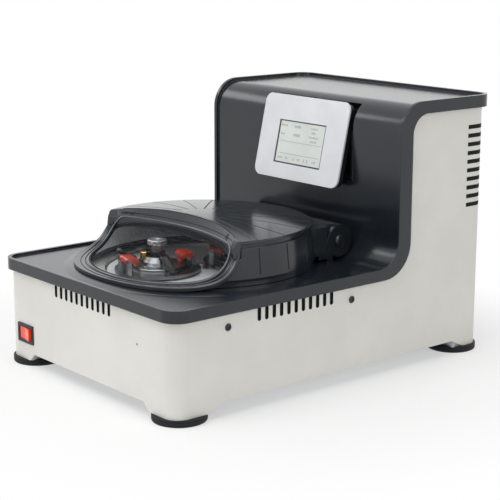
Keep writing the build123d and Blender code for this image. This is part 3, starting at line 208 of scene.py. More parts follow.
# display glass over a pale liquid crystal: flat grey-green under a clear shine
crystalGlass = surfaceFinish("liquidCrystalGlass", {
    "light": "DCE1DD", "dark": "D3D9D5", "patch": 40, "grain": 0.4, "relief": 0.001, "rough": 0.22,
    "coat": 0.5, "coatRough": 0.06})
# printed marks on the display: mid grey, flat
printGrey = surfaceFinish("screenPrintGrey", {
    "light": "A2A8A4", "dark": "939995", "patch": 3, "grain": 0.4, "relief": 0.001, "rough": 0.5})
# the dark edge of the screen
printDark = surfaceFinish("screenBezelDark", {
    "light": "33373C", "dark": "2A2E33", "patch": 6, "grain": 0.4, "relief": 0.002, "rough": 0.4,
    "edge": 0.2})

# clear cast acrylic of the hood window: it lets nearly everything through and keeps a faint shine
clearAcrylic, tree, shader, inMm = startMaterial("clearAcrylic")
haze = addNode(tree, "TexNoise", None, {"Vector": inMm, "Scale": 1 / 40, "Detail": 2.0})
film = addNode(tree, "MapRange", None, {"Value": haze.outputs["Fac"], "To Min": 0.02, "To Max": 0.06})
tree.links.new(film.outputs["Result"], shader.inputs["Roughness"])
shader.inputs["Base Color"].default_value = toLinear("30363A")
shader.inputs["Alpha"].default_value = 0.04

# the lamp inside the rocker: a warm spot that fades into the red
rockerLamp = {"place": (-0.1325, -0.2620, 0.0435), "reach": 0.012, "strength": 0.7}
tree = rockerRed.node_tree
shader = tree.nodes["Principled BSDF"]
place = addNode(tree, "TexCoord")
fromLamp = addNode(tree, "VectorMath", {"operation": "DISTANCE"},
                   {0: place.outputs["Object"], 1: rockerLamp["place"]})
glowRamp = addNode(tree, "ValToRGB")
fade = addNode(tree, "MapRange", None, {"Value": fromLamp.outputs["Value"], "From Max": rockerLamp["reach"]})
tree.links.new(fade.outputs["Result"], glowRamp.inputs["Fac"])
glowRamp.color_ramp.elements[0].color = toLinear("FFC060")
glowRamp.color_ramp.elements[1].color = toLinear("B01004")
glowRamp.color_ramp.elements.new(0.35).color = toLinear("F04818")
tree.links.new(glowRamp.outputs["Color"], shader.inputs["Emission Color"])
shader.inputs["Emission Strength"].default_value = rockerLamp["strength"]

dress(powderCoat, "casing_wrap", "rear_panel")
dress(charcoalAbs, "deck_cover", "tower_cover", "hinge_cheeks")
dress(hoodAbs, "hood_shell")
dress(frameAbs, "window_frame")
dress(matRubber, "feet", "window_gasket")
dress(blackPolyamide, "mains_inlet", "rocker_bezel", "lock_housing", "display_housing", "display_bracket",
      "fan_frame", "fan_rotor")
dress(zincSheet, "base_tray", "motor_mount", "inverter")
dress(spunStainless, "chamber_tub")
dress(turnedSteel, "side_screws", "hinge_pin", "lock_bolt", "motor_rotor", "main_shaft", "main_bearings",
      "planet_bearings")
dress(machinedAluminium, "drive_pulley", "bearing_housing", "fixed_pulley")
dress(satinDisk, "sun_disk")
dress(silverLacquer, "display_plate")
dress(crystalGlass, "display_screen")
dress(flockedLining, "hood_liner")
dress(motorEnamel, "motor")
dress(beltRubber, "drive_belt", "planet_belts")
dress(solderMask, "control_board")
dress(rockerRed, "rocker_switch")
dress(clearAcrylic, "window_pane")
for number in "12":
    dress(darkStation, "bowl_carrier_" + number)
    dress(spunStainless, "grinding_bowl_" + number)
    dress(darkStation, "bowl_lid_" + number)
    dress(turnedSteel, "lid_knob_" + number)
    dress(turnedBrass, "gas_valve_" + number)
    dress(burnishedBlack, "clamp_bow_" + number, "clamp_lever_" + number)
    dress(gripRed, "latch_" + number + "a", "latch_" + number + "b")
print("materials on the CAD nodes")


def fresh():
    # nothing selected, so that an operator touches only what comes next
    if bpy.context.object and bpy.context.object.mode != "OBJECT":
        bpy.ops.object.mode_set(mode="OBJECT")
    bpy.ops.object.select_all(action="DESELECT")


def activate(piece):
    # the only selected object, and the active one
    fresh()
    piece.select_set(True)
    bpy.context.view_layer.objects.active = piece


def linked(piece):
    bpy.context.scene.collection.objects.link(piece)
    return piece


def modified(piece, kind, settings):
    # a modifier with its settings, applied at once
    activate(piece)
    bpy.ops.object.modifier_add(type=kind)
    for name, value in settings.items():
        setattr(piece.modifiers[-1], name, value)
    bpy.ops.object.modifier_apply(modifier=piece.modifiers[-1].name)


def finish(piece, name, body, material, bevel=0.0, smooth=35):
    # modifiers applied, place in the mesh, named, painted and riding on its body
    activate(piece)
    if bevel:
        modified(piece, "BEVEL", {"width": bevel * mm, "segments": 2, "limit_method": "ANGLE",
                                  "angle_limit": math.radians(40)})
    bpy.ops.object.transform_apply(location=True, rotation=True, scale=True)
    bpy.ops.object.shade_smooth_by_angle(angle=math.radians(smooth))
    piece.name = name
    piece.data.name = name
    piece.data.materials.clear()
    piece.data.materials.append(material)
    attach(piece, body)
    return piece


def selectFaces(piece, test):
    # in edit mode, select the faces that pass a test of their centre and normal
    mesh = bmesh.from_edit_mesh(piece.data)
    for face in mesh.faces:
        face.select = bool(test(face.calc_center_median(), face.normal))
    bmesh.update_edit_mesh(piece.data)


def turned(centre, levels, sides=48):
    # a turned part on a vertical axis: each level is (radius, height) in mm, from the bottom up
    fresh()
    (startRadius, startHeight), (nextRadius, nextHeight) = levels[:2]
    bpy.ops.mesh.primitive_cylinder_add(vertices=sides, radius=startRadius * mm,
                                        depth=(nextHeight - startHeight) * mm, location=(0, 0, 0))
    piece = bpy.context.object
    piece.location = (centre[0] * mm, centre[1] * mm, (startHeight + nextHeight) / 2 * mm)
    bpy.ops.object.transform_apply(location=True)
    bpy.ops.object.mode_set(mode="EDIT")
    top = nextHeight * mm
    selectFaces(piece, lambda at, normal: normal.z > 0.9 and abs(at.z - top) < 1e-6)
    middle = (centre[0] * mm, centre[1] * mm, 0)
    wider = nextRadius / startRadius
    bpy.ops.transform.resize(value=(wider, wider, 1), center_override=middle)
    for radius, height in levels[2:]:
        bpy.ops.mesh.extrude_region_move(TRANSFORM_OT_translate={"value": (0, 0, height * mm - top)})
        wider = radius / nextRadius
        bpy.ops.transform.resize(value=(wider, wider, 1), center_override=middle)
        nextRadius, top = radius, height * mm
    bpy.ops.mesh.select_all(action="SELECT")
    bpy.ops.mesh.normals_make_consistent(inside=False)
    bpy.ops.object.mode_set(mode="OBJECT")
    return piece


def joined(pieces):
    activate(pieces[0])
    for piece in pieces:
        piece.select_set(True)
    bpy.ops.object.join()
    return bpy.context.object


def moved(x, y, z):
    # a shift given in mm
    return Matrix.Translation((x * mm, y * mm, z * mm))


def copied(piece, matrix):
    # a copy with its own mesh, set by a matrix in metres
    twin = piece.copy()
    twin.data = piece.data.copy()
    twin.data.transform(matrix)
    return linked(twin)


def lineThrough(points, closed=False):
    # a line of straight runs through points in mm
    line = bpy.data.curves.new("line", "CURVE")
    line.dimensions = "3D"
    spline = line.splines.new("POLY")
    spline.points.add(len(points) - 1)
    for point, place in zip(spline.points, points):
        point.co = (place[0] * mm, place[1] * mm, place[2] * mm, 1)
    spline.use_cyclic_u = closed
    return linked(bpy.data.objects.new("line", line))


def tubeAlong(points, radius, closed=False, sides=4):
    # a round bead along a line of points
    piece = lineThrough(points, closed)
    piece.data.bevel_depth = radius * mm
    piece.data.bevel_resolution = sides
    piece.data.use_fill_caps = not closed
    activate(piece)
    bpy.ops.object.convert(target="MESH")
    return bpy.context.object


def wallAlong(points, low, high, thick):
    # an upright strip along a line of points in plan
    piece = lineThrough([(x, y, 0) for x, y in points])
    piece.data.dimensions = "2D"
    piece.data.fill_mode = "NONE"
    piece.data.extrude = (high - low) / 2 * mm
    piece.location.z = (low + high) / 2 * mm
    activate(piece)
    bpy.ops.object.convert(target="MESH")
    modified(piece, "SOLIDIFY", {"thickness": thick * mm, "offset": 0})
    return piece


# display: dark bezel line and generic marks on the screen, both in the plane of its tilted plate
display = {"place": (7.5, 96.7, 336.2), "lean": 12.5, "screenX": -1.2, "screenDrop": 63.0, "wide": 91.0,
           "high": 58.0, "glass": -0.6, "rise": 0.45, "top": 1.2, "bottom": 1.8, "left": 2.2, "right": 1.0}
lean = math.radians(display["lean"])
displayPlane = Matrix(((1, 0, 0, display["place"][0] * mm),
                       (0, math.sin(lean), -math.cos(lean), display["place"][1] * mm),
                       (0, math.cos(lean), math.sin(lean), display["place"][2] * mm),
                       (0, 0, 0, 1)))


def bar(x, y, wide, high, rise):
    # flat bar on the screen; x and y from the screen's centre, in mm
    fresh()
    bpy.ops.mesh.primitive_cube_add(size=1)
    piece = bpy.context.object
    piece.scale = (wide * mm, high * mm, rise * mm)
    piece.location = ((display["screenX"] + x) * mm, (-display["screenDrop"] + y) * mm,
                      (display["glass"] + rise / 2) * mm)
    bpy.ops.object.transform_apply(location=True, rotation=True, scale=True)
    piece.data.transform(displayPlane)
    return piece


halfWide, halfHigh = display["wide"] / 2, display["high"] / 2
bezel = [bar(0, halfHigh - display["top"] / 2, display["wide"], display["top"], display["rise"]),
         bar(0, -halfHigh + display["bottom"] / 2, display["wide"], display["bottom"], display["rise"]),
         bar(-halfWide + display["left"] / 2, 0, display["left"], display["high"], display["rise"]),
         bar(halfWide - display["right"] / 2, 0, display["right"], display["high"], display["rise"])]
finish(joined(bezel), "screenBezel", "display", printDark, bevel=0.08)

# words are (middle, width) along a row at a given height; rules are thin lines across the screen
marks = {"rise": 0.12, "pitch": 2.6, "stroke": 1.3, "wordStart": 1.0, "wordHigh": 2.2, "valueX": -8,
         "valueHigh": 3.6,
         "rows": ((22.0, ((-35, 14), (-8, 14), (25, 15))), (10.5, ((-36, 8), (-8, 14), (25, 19))),
                  (16.5, ((24, 9),)), (5.0, ((25, 13),))),
         "rules": (0.8, -15.5), "ruleX": 0.6, "ruleWide": 80, "ruleHigh": 0.6,
         "keys": ((-34, 11), (-21, 7), (-8, 1), (3, 6), (13, 1), (19, 1), (33, 8)),
         "keyY": -21.5, "keyStart": 0.8, "keyHigh": 2.4, "dividerHigh": 4.2}


def word(x, y, wide, high, start):
    # a row of short strokes round the middle x
    return [bar(x - wide / 2 + marks["pitch"] * stroke + start, y, marks["stroke"], high, marks["rise"])
            for stroke in range(max(1, int(wide / marks["pitch"])))]


prints = []
for y, words in marks["rows"]:
    for x, wide in words:
        high = marks["valueHigh"] if x == marks["valueX"] else marks["wordHigh"]
        prints += word(x, y, wide, high, marks["wordStart"])
for y in marks["rules"]:
    prints.append(bar(marks["ruleX"], y, marks["ruleWide"], marks["ruleHigh"], marks["rise"]))
for x, wide in marks["keys"]:
    high = marks["dividerHigh"] if wide == 1 else marks["keyHigh"]
    prints += word(x, marks["keyY"], wide, high, marks["keyStart"])
finish(joined(prints), "screenMarks", "display", printGrey, smooth=20)
print("display marks")

# glazing frame: the moulding with clean upper corners, a rounded lip at the opening with a painted highlight,
# and two black lines of painted shade in its fine grooves
window = {"low": 142.0, "high": 190.0, "start": -122.0, "fade": 17.0, "half": 121.0, "reach": 93.0,
          "back": -128.0, "arcY": -378.0, "arcIn": 278.0, "arcLow": 183.0, "arcRise": 2.1, "arcGrow": 0.72,
          "steps": 60, "cornerTrim": 2.0, "lip": (1.2, 1.3), "grooveShades": ((4.6, 0.55), (10.5, 0.5)),
          "grooveShadeRise": 0.05,
          "millY": -78.0, "crown": 200.0, "domeDrop": 8.5, "domeRadius": 141.0, "soften": 3,
          "weld": 0.002, "finStart": 99.0, "coneTop": 214.0, "coneGap": (0.02, 0.1), "coneSides": 720}


def visorHeight(y):
    # top of the flared frame over the distance to the front
    return window["low"] + (window["high"] - window["low"]) * math.exp((y - window["start"]) / window["fade"])


def openingLine(grow, over):
    # closed line round the opening, grow mm outside its edge: half an ellipse in front, an arc behind
    half, reach = window["half"] + grow, window["reach"] + grow
    arc = window["arcIn"] + grow * window["arcGrow"]
    line = []
    for step in range(window["steps"] + 1):
        turn = math.pi * step / window["steps"]
        y = window["back"] - reach * math.sin(turn)
        line.append((half * math.cos(turn), y, visorHeight(y) + over))
    ends = half - window["cornerTrim"]
    for step in range(1, window["steps"]):
        x = -ends + 2 * ends * step / window["steps"]
        y = window["arcY"] + math.sqrt(arc ** 2 - x ** 2)
        fromMill = math.hypot(x, y - window["millY"])
        dome = window["crown"] - window["domeDrop"] * fromMill ** 2 / window["domeRadius"] ** 2
        line.append((x, y, min(window["arcLow"] + (arc - window["arcIn"]) * window["arcRise"], dome) + over))
    for _ in range(window["soften"]):
        # each point moves towards the middle of its neighbours, which rounds the two upper corners
        line = [tuple((a + 2 * b + c) / 4 for a, b, c in zip(line[i - 1], line[i], line[(i + 1) % len(line)]))
                for i in range(len(line))]
    return line


# a copy of the moulding: the borders of its faces are marked sharp before they are welded
glazing = copied(nodes["window_frame"], Matrix())
activate(glazing)
bpy.ops.object.mode_set(mode="EDIT")
bpy.ops.mesh.select_mode(type="EDGE")
bpy.ops.mesh.select_all(action="DESELECT")
bpy.ops.mesh.select_non_manifold()
bpy.ops.mesh.mark_sharp()
bpy.ops.mesh.select_mode(type="FACE")
bpy.ops.mesh.select_all(action="SELECT")
bpy.ops.mesh.remove_doubles(threshold=window["weld"] * mm)
bpy.ops.object.mode_set(mode="OBJECT")
for side in (-1, 1):
    # the thin fin behind each upper corner is cut off by a wedge of the cone that the frame's back lies on
    coneStart = window["arcLow"] + window["coneGap"][1]
    coneWide = window["arcIn"] + (window["coneTop"] - window["arcLow"]) / window["arcRise"]
    cutter = turned((0, window["arcY"]), [(window["arcIn"] + window["coneGap"][0], coneStart),
                                          (coneWide, window["coneTop"])], sides=window["coneSides"])
    bpy.ops.object.mode_set(mode="EDIT")
    for x, outward in ((window["half"], side), (window["finStart"], -side)):
        bpy.ops.mesh.select_all(action="SELECT")
        bpy.ops.mesh.bisect(plane_co=(side * x * mm, 0, 0), plane_no=(outward, 0, 0), use_fill=True,
                            clear_outer=True)
    modified(glazing, "BOOLEAN", {"operation": "DIFFERENCE", "solver": "EXACT", "object": cutter})
    bpy.data.objects.remove(cutter)
finish(glazing, "glazingFrame", "hood", frameAbs)
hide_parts("window_frame")

# the lip is painted lighter than the frame: a painted highlight along the opening
frameLip = tubeAlong(openingLine(window["lip"][0], 0.0), window["lip"][1], closed=True)
finish(frameLip, "frameLip", "hood", lipHighlightAbs, smooth=60)
# two black lines of painted shade where the frame has fine grooves
grooveShades = [tubeAlong(openingLine(grow, window["grooveShadeRise"]), radius, closed=True, sides=2)
         for grow, radius in window["grooveShades"]]
finish(joined(grooveShades), "frameGrooveShade", "hood", matRubber, smooth=60)
print("glazing frame, lip and seams")

# clamp knobs with a slotted rim, pin holes and a stepped round socket
knob = {"spots": ((-17.9424, -135.2544), (17.9424, -20.7456)), "column": 6.4, "flare": 1.6, "cap": 12.4,
        "low": 150.05, "capLow": 164.6, "capHigh": 171.3, "chamfer": 0.8, "socket": 5.4, "socketDrop": 3.4,
        "facets": 36, "slotRim": 0.25, "slotDepth": 0.9}
pin = {"turns": (35, 125, 215, 305), "reach": 8.4, "radius": 1.3, "low": 1.0, "proud": 0.02, "eye": 0.9}
knobLevels = [(knob["column"], knob["low"]), (knob["column"], knob["capLow"] - 1.2),
              (knob["column"] + knob["flare"], knob["capLow"]), (knob["cap"] - 0.5, knob["capLow"]),
              (knob["cap"], knob["capLow"] + 0.6), (knob["cap"], knob["capHigh"] - knob["chamfer"]),
              (knob["cap"] - knob["chamfer"], knob["capHigh"]), (knob["socket"], knob["capHigh"]),
              (knob["socket"] - 0.4, knob["capHigh"] - 0.5), (3.0, knob["capHigh"] - 0.5),
              (2.7, knob["capHigh"] - knob["socketDrop"])]
pinLevels = [(pin["radius"], knob["capHigh"] - pin["low"]), (pin["radius"], knob["capHigh"] + pin["proud"]),
             (pin["eye"], knob["capHigh"] + pin["proud"] + 0.01), (pin["eye"] - 0.2, knob["capHigh"] - 0.3)]


def everyThird(spot):
    # a test for one upright face in three, in the rim and in the column
    rim = (knob["capLow"] + knob["capHigh"]) / 2 * mm

    def test(at, normal):
        around = math.degrees(math.atan2(at.y - spot[1] * mm, at.x - spot[0] * mm)) % 360
        upright = abs(normal.z) < 0.3
        tall = abs(at.z - rim) < 1 * mm or at.z < (knob["capLow"] - 2) * mm
        return upright and tall and int(around // (360 / knob["facets"])) % 3 == 0
    return test


for number, spot in zip("12", knob["spots"]):
    piece = turned(spot, knobLevels, sides=knob["facets"])
    bpy.ops.object.mode_set(mode="EDIT")
    selectFaces(piece, everyThird(spot))
    bpy.ops.mesh.inset(thickness=knob["slotRim"] * mm, depth=-knob["slotDepth"] * mm, use_individual=True)
    finish(piece, "clampKnob" + number, "knob_" + number, brushedKnob, bevel=0.15)
    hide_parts("lid_knob_" + number)
    pins = []
    for turn in pin["turns"]:
        along = math.radians(turn)
        at = (spot[0] + pin["reach"] * math.cos(along), spot[1] + pin["reach"] * math.sin(along))
        pins.append(turned(at, pinLevels, sides=16))
    finish(joined(pins), "knobPins" + number, "knob_" + number, burnishedBlack, smooth=30)
print("clamp knobs")

# black sheets of painted shade behind the vents in the front, the sides and the rear corners
casing = {"front": -258.2, "side": 180.2, "cornerX": 160.2, "cornerY": 238.2, "cornerSteps": 8, "rear": 258.2}
shadeSheet = {"thick": 0.8, "low": 104.0, "high": 132.0, "frontX": -5.5, "sideY": -75.6, "half": 66.0, "behind": 2.1,
        "pillar": (-95.5, -60.5), "grilleLow": 197.0, "grilleHigh": 308.5, "grilleFront": 218.0,
        "grilleRear": 147.4}


def roundCorner(side, radius, frontEnd, rearEnd):
    # line in plan round a rear corner of the casing, from its side to its rear
    path = [(side * (casing["cornerX"] + radius), frontEnd)]
    for step in range(casing["cornerSteps"] + 1):
        turn = math.pi / 2 * step / casing["cornerSteps"]
        path.append((side * (casing["cornerX"] + radius * math.cos(turn)),
                     casing["cornerY"] + radius * math.sin(turn)))
    return path + [(side * rearEnd, casing["cornerY"] + radius)]


ventStart, ventEnd = shadeSheet["sideY"] - shadeSheet["half"], shadeSheet["sideY"] + shadeSheet["half"]
frontFace, sideFace = casing["front"] + shadeSheet["behind"], casing["side"] - shadeSheet["behind"]
runs = [((shadeSheet["frontX"] - shadeSheet["half"], frontFace), (shadeSheet["frontX"] + shadeSheet["half"], frontFace)),
        ((sideFace, ventStart), (sideFace, ventEnd)),
        ((-sideFace, ventStart), (-sideFace, shadeSheet["pillar"][0])),
        ((-sideFace, shadeSheet["pillar"][1]), (-sideFace, ventEnd))]
strips = [wallAlong(run, shadeSheet["low"], shadeSheet["high"], shadeSheet["thick"]) for run in runs]
for side in (-1, 1):
    path = roundCorner(side, sideFace - casing["cornerX"], shadeSheet["grilleFront"], shadeSheet["grilleRear"])
    strips.append(wallAlong(path, shadeSheet["grilleLow"], shadeSheet["grilleHigh"], shadeSheet["thick"]))
finish(joined(strips), "ventShadeSheets", "casing", paintedShadeSheet)
print("vent felt")

# painted shade in the vents: black inserts that line and widen the vent slots, and black strips over the slots
# at the rear corners
insert = {"wide": 5.4, "high": 23.2, "deep": 1.4, "proud": 0.2, "rim": 0.8, "dish": 1.1, "count": 11,
          "pitch": 11.55, "middle": 118.1, "rows": 10, "rowLow": 201.2, "rowPitch": 11.4, "rowThick": 0.3,
          "rowProud": 0.02, "rowFront": 221.3, "rowRear": 147.6}
fresh()
bpy.ops.mesh.primitive_cylinder_add(vertices=20, radius=insert["wide"] / 2 * mm, depth=insert["deep"] * mm,
                                    location=(0, 0, (insert["proud"] - insert["deep"] / 2) * mm))
slotInsert = bpy.context.object
bpy.ops.object.transform_apply(location=True)
bpy.ops.object.mode_set(mode="EDIT")
mesh = bmesh.from_edit_mesh(slotInsert.data)
for end in (-1, 1):
    # both halves pulled apart to the length of the slot
    for vertex in mesh.verts:
        vertex.select = vertex.co.y * end > 1e-6
    mesh.select_flush_mode()
    bmesh.update_edit_mesh(slotInsert.data)
    bpy.ops.transform.translate(value=(0, end * (insert["high"] - insert["wide"]) / 2 * mm, 0))
selectFaces(slotInsert, lambda at, normal: normal.z > 0.9)
bpy.ops.mesh.inset(thickness=insert["rim"] * mm)
bpy.ops.mesh.extrude_region_move(TRANSFORM_OT_translate={"value": (0, 0, -insert["dish"] * mm)})
bpy.ops.object.mode_set(mode="OBJECT")
upright = Matrix.Rotation(math.pi / 2, 4, "X")
inserts = []
for step in range(insert["count"]):
    shift = (step - (insert["count"] - 1) / 2) * insert["pitch"]
    place = moved(shadeSheet["frontX"] + shift, casing["front"], insert["middle"])
    inserts.append(copied(slotInsert, place @ upright))
    for side in (-1, 1):
        place = moved(side * casing["side"], shadeSheet["sideY"] + shift, insert["middle"])
        inserts.append(copied(slotInsert, place @ Matrix.Rotation(side * math.pi / 2, 4, "Z") @ upright))
bpy.data.objects.remove(slotInsert)
for row in range(insert["rows"]):
    middle = insert["rowLow"] + row * insert["rowPitch"]
    for side in (-1, 1):
        path = roundCorner(side, casing["side"] - casing["cornerX"] + insert["rowProud"], insert["rowFront"],
                           insert["rowRear"])
        inserts.append(wallAlong(path, middle - insert["wide"] / 2, middle + insert["wide"] / 2,
                                 insert["rowThick"]))
finish(joined(inserts), "ventShadeInserts", "casing", slotShadeBlack, smooth=50)
print("vent inserts")

# rubber feet with a parting groove, a recess below and the bolt in it
foot = {"x": 153.0, "y": 231.0, "radius": 33.0, "high": 8.5, "chamfer": 2.0, "groove": 0.7, "grooveLow": 5.6,
        "grooveHigh": 6.2, "recess": 11.0, "recessDeep": 4.5, "bolt": 6.4, "boltLow": 1.6, "sides": 72}
firstFoot = turned((0, 0), [(foot["radius"] - foot["chamfer"], 0.0), (foot["radius"] - 0.6, 0.6),
                            (foot["radius"], foot["chamfer"]), (foot["radius"], foot["grooveLow"] - 0.4),
                            (foot["radius"] - foot["groove"], foot["grooveLow"]),
                            (foot["radius"] - foot["groove"], foot["grooveHigh"]),
                            (foot["radius"], foot["grooveHigh"] + 0.4), (foot["radius"], foot["high"])],
                   sides=foot["sides"])
bpy.ops.object.mode_set(mode="EDIT")
selectFaces(firstFoot, lambda at, normal: normal.z < -0.9 and at.z < 1e-5)
bpy.ops.mesh.inset(thickness=(foot["radius"] - foot["chamfer"] - foot["recess"]) * mm)
bpy.ops.mesh.extrude_region_move(TRANSFORM_OT_translate={"value": (0, 0, foot["recessDeep"] * mm)})
firstBolt = turned((0, 0), [(foot["bolt"], foot["boltLow"]), (foot["bolt"], foot["recessDeep"] - 0.1),
                            (foot["bolt"] - 0.3, foot["recessDeep"] - 0.05), (2.0, foot["recessDeep"])],
                   sides=6)
rubberFeet, footBolts = [], []
for x in (-foot["x"], foot["x"]):
    for y in (-foot["y"], foot["y"]):
        rubberFeet.append(copied(firstFoot, moved(x, y, 0)))
        footBolts.append(copied(firstBolt, moved(x, y, 0)))
bpy.data.objects.remove(firstFoot)
bpy.data.objects.remove(firstBolt)
piece = finish(joined(rubberFeet), "rubberFeet", "casing", matRubber, bevel=0.25)
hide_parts("feet")
finish(joined(footBolts), "footBolts", "casing", turnedSteel, bevel=0.3)
print("feet")

# button-head screws: black on pale washers in the sides, steel ones in the rear panel and under the tray
screw = {"z": 107.5, "ys": (-180.6, 16.0), "head": 4.5, "high": 2.0, "socket": 1.9, "washer": 7.6,
         "panelHead": 3.3, "rearX": 142.0, "rearZs": (45.0, 135.0, 225.0, 318.0), "trayX": 165.0,
         "trayYs": (-95.0, 95.0), "trayZ": 18.5}
buttonHead = turned((0, 0), [(screw["head"], 0.0), (screw["head"], 0.7), (screw["head"] - 0.35, 1.3),
                             (screw["head"] - 1.2, 1.8), (screw["socket"] + 0.3, screw["high"]),
                             (screw["socket"], screw["high"] - 0.1), (screw["socket"] - 0.1, 0.8)], sides=24)
washerRing = turned((0, 0), [(screw["washer"], 0.0), (screw["washer"], 0.25), (screw["washer"] - 0.5, 0.5),
                             (screw["head"] + 0.6, 0.5), (screw["head"] + 0.3, 0.15)], sides=40)
small = Matrix.Diagonal([screw["panelHead"] / screw["head"]] * 3 + [1])
towardsRear = Matrix.Rotation(-math.pi / 2, 4, "X") @ small
downwards = Matrix.Rotation(math.pi, 4, "X") @ small
heads, washers, panelHeads = [], [], []
for side in (-1, 1):
    for y in screw["ys"]:
        spot = moved(side * casing["side"], y, screw["z"]) @ Matrix.Rotation(side * math.pi / 2, 4, "Y")
        heads.append(copied(buttonHead, spot))
        washers.append(copied(washerRing, spot))
    for z in screw["rearZs"]:
        panelHeads.append(copied(buttonHead, moved(side * screw["rearX"], casing["rear"], z) @ towardsRear))
    for y in screw["trayYs"]:
        panelHeads.append(copied(buttonHead, moved(side * screw["trayX"], y, screw["trayZ"]) @ downwards))
bpy.data.objects.remove(buttonHead)
bpy.data.objects.remove(washerRing)
piece = finish(joined(heads), "sideScrews", "casing", burnishedBlack)
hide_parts("side_screws")
finish(joined(washers), "screwWashers", "casing", powderCoat)
finish(joined(panelHeads), "panelScrews", "casing", turnedSteel)
print("screws")

# wire guard over the fan: rings on four crossed spokes
guard = {"x": 60.0, "z": 250.0, "y": 257.9, "wire": 0.9, "rings": (12.0, 22.0, 32.0, 42.0), "ringSteps": 60,
         "spokes": (45, 135, 225, 315), "spokeReach": (10.0, 30.0, 54.0)}


def guardPoint(reach, turn, over=0.0):
    return (guard["x"] + reach * math.cos(turn), guard["y"] + over, guard["z"] + reach * math.sin(turn))


ringTurns = [2 * math.pi * step / guard["ringSteps"] for step in range(guard["ringSteps"])]
wires = [tubeAlong([guardPoint(radius, turn) for turn in ringTurns], guard["wire"], closed=True, sides=2)
         for radius in guard["rings"]]
for turn in guard["spokes"]:
    spoke = [guardPoint(reach, math.radians(turn), guard["wire"]) for reach in guard["spokeReach"]]
    wires.append(tubeAlong(spoke, guard["wire"], sides=2))
finish(joined(wires), "fanGuard", "casing", zincSheet, smooth=60)
print("fan guard")

# status lens in the front and domed caps over the hinge pin
lens = {"x": 108.6, "z": 85.3, "levels": [(1.45, -1.0), (1.45, 0.2), (1.2, 0.6), (0.6, 0.85)]}
piece = turned((0, 0), lens["levels"], sides=24)
piece.data.transform(moved(lens["x"], casing["front"], lens["z"]) @ upright)
finish(piece, "statusLens", "casing", printGrey, smooth=60)
cap = {"x": 105.0, "y": 66.0, "z": 162.0,
       "levels": [(8.5, 0.05), (8.5, 1.0), (7.6, 1.9), (5.0, 2.5), (2.0, 2.7)]}
firstCap = turned((0, 0), cap["levels"], sides=40)
caps = [copied(firstCap, moved(side * cap["x"], cap["y"], cap["z"])
               @ Matrix.Rotation(side * math.pi / 2, 4, "Y")) for side in (-1, 1)]
bpy.data.objects.remove(firstCap)
finish(joined(caps), "hingeCaps", "casing", charcoalAbs, smooth=50)
print("lens and hinge caps")

# camera at the photo's viewpoint
camera = {"place": (1.4108, -1.1776, 0.5589), "target": (-0.2887, 0.2446, 0.0547), "lens": 102.88, "roll": 0.12}
cameraData = bpy.data.cameras.new("camera")
cameraData.lens = camera["lens"]
cameraData.sensor_width = 36.0
cameraObject = linked(bpy.data.objects.new("camera", cameraData))
aim = (Vector(camera["target"]) - Vector(camera["place"])).to_track_quat("-Z", "Y").to_matrix().to_4x4()
cameraObject.matrix_world = (Matrix.Translation(camera["place"]) @ aim
                             @ Matrix.Rotation(math.radians(camera["roll"]), 4, "Z"))
bpy.context.scene.camera = cameraObject

# soft studio light: place, target, width, height and power of each panel
studio = {
    "above": ((0.1, -0.95, 1.9), (0, -0.1, 0.12), 1.8, 1.8, 24.0),
    "front": ((-0.5, -2.4, 0.55), (0, 0, 0.16), 1.8, 0.8, 8.0),
    "side": ((2.2, 0.45, 1.0), (0, 0.05, 0.18), 1.4, 1.4, 11.0),
    "left": ((-1.9, -0.65, 1.5), (0, 0.1, 0.2), 1.4, 0.5, 7.0),
    "behind": ((-2.2, 1.9, 0.9), (0, 0, 0.15), 2.6, 1.2, 2.2),
}
for name, (place, target, wide, high, power) in studio.items():
    lampData = bpy.data.lights.new(name, "AREA")
    lampData.shape = "RECTANGLE"
    lampData.size = wide
    lampData.size_y = high
    lampData.energy = power
    lamp = linked(bpy.data.objects.new(name, lampData))
    turn = (Vector(target) - Vector(place)).to_track_quat("-Z", "Y").to_matrix().to_4x4()
    lamp.matrix_world = Matrix.Translation(place) @ turn


def seenDirectly(tree):
    # 1 where the camera, a reflection or the clear window looks straight at it
    rays = addNode(tree, "LightPath")
    either = addNode(tree, "Math", {"operation": "MAXIMUM"},
                     {0: rays.outputs["Is Camera Ray"], 1: rays.outputs["Is Glossy Ray"]})
    return addNode(tree, "Math", {"operation": "MAXIMUM"},
                   {0: either.outputs[0], 1: rays.outputs["Is Transmission Ray"]}).outputs[0]


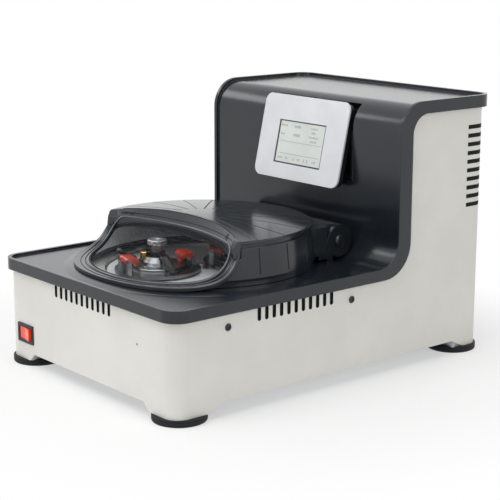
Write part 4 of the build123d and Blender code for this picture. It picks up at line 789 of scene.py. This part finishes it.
# even soft sky for the light, and pure white where it is looked at
skyStrength = 0.34
world = bpy.data.worlds.new("studio")
world.use_nodes = True
tree = world.node_tree
sky = tree.nodes["Background"]
sky.inputs["Color"].default_value = toLinear("FFFFFF")
sky.inputs["Strength"].default_value = skyStrength
backdrop = addNode(tree, "Background", None, {"Color": toLinear("FFFFFF"), "Strength": 1.0})
choose = addNode(tree, "MixShader", None,
                 {"Fac": seenDirectly(tree), 1: sky.outputs[0], 2: backdrop.outputs[0]})
tree.links.new(choose.outputs[0], tree.nodes["World Output"].inputs["Surface"])
bpy.context.scene.world = world

# pale floor: plain white away from the part, and soft shadow under and near it
ground = {"size": 14, "grain": 0.4, "relief": 0.01, "nearEnd": 250.0, "farStart": 520.0, "nearGlow": 0.45}
fresh()
bpy.ops.mesh.primitive_plane_add(size=ground["size"], location=(0, 0, 0))
floor = bpy.context.object
floor.name = "floor"
paper, tree, shader, inMm = startMaterial("paleFloor")
grain = addNode(tree, "TexNoise", None, {"Vector": inMm, "Scale": ground["grain"], "Detail": 1.0})
bump = addNode(tree, "Bump", None, {"Height": grain.outputs["Fac"], "Distance": ground["relief"] * mm})
tree.links.new(bump.outputs["Normal"], shader.inputs["Normal"])
shader.inputs["Base Color"].default_value = toLinear("F6F6F6")
shader.inputs["Roughness"].default_value = 0.8
glow = addNode(tree, "Emission", None, {"Color": toLinear("FFFFFF"), "Strength": 1.0})
distance = addNode(tree, "VectorMath", {"operation": "LENGTH"}, {0: inMm})
away = addNode(tree, "MapRange", None, {"Value": distance.outputs["Value"], "From Min": ground["nearEnd"],
                                        "From Max": ground["farStart"], "To Min": ground["nearGlow"],
                                        "To Max": 1.0})
share = addNode(tree, "Math", {"operation": "MULTIPLY"}, {0: away.outputs["Result"], 1: seenDirectly(tree)})
blend = addNode(tree, "MixShader", None, {"Fac": share.outputs[0], 1: shader.outputs[0], 2: glow.outputs[0]})
tree.links.new(blend.outputs[0], tree.nodes["Material Output"].inputs["Surface"])
floor.data.materials.append(paper)
print("camera, light and floor")

bpy.context.scene.view_settings.view_transform = "Standard"
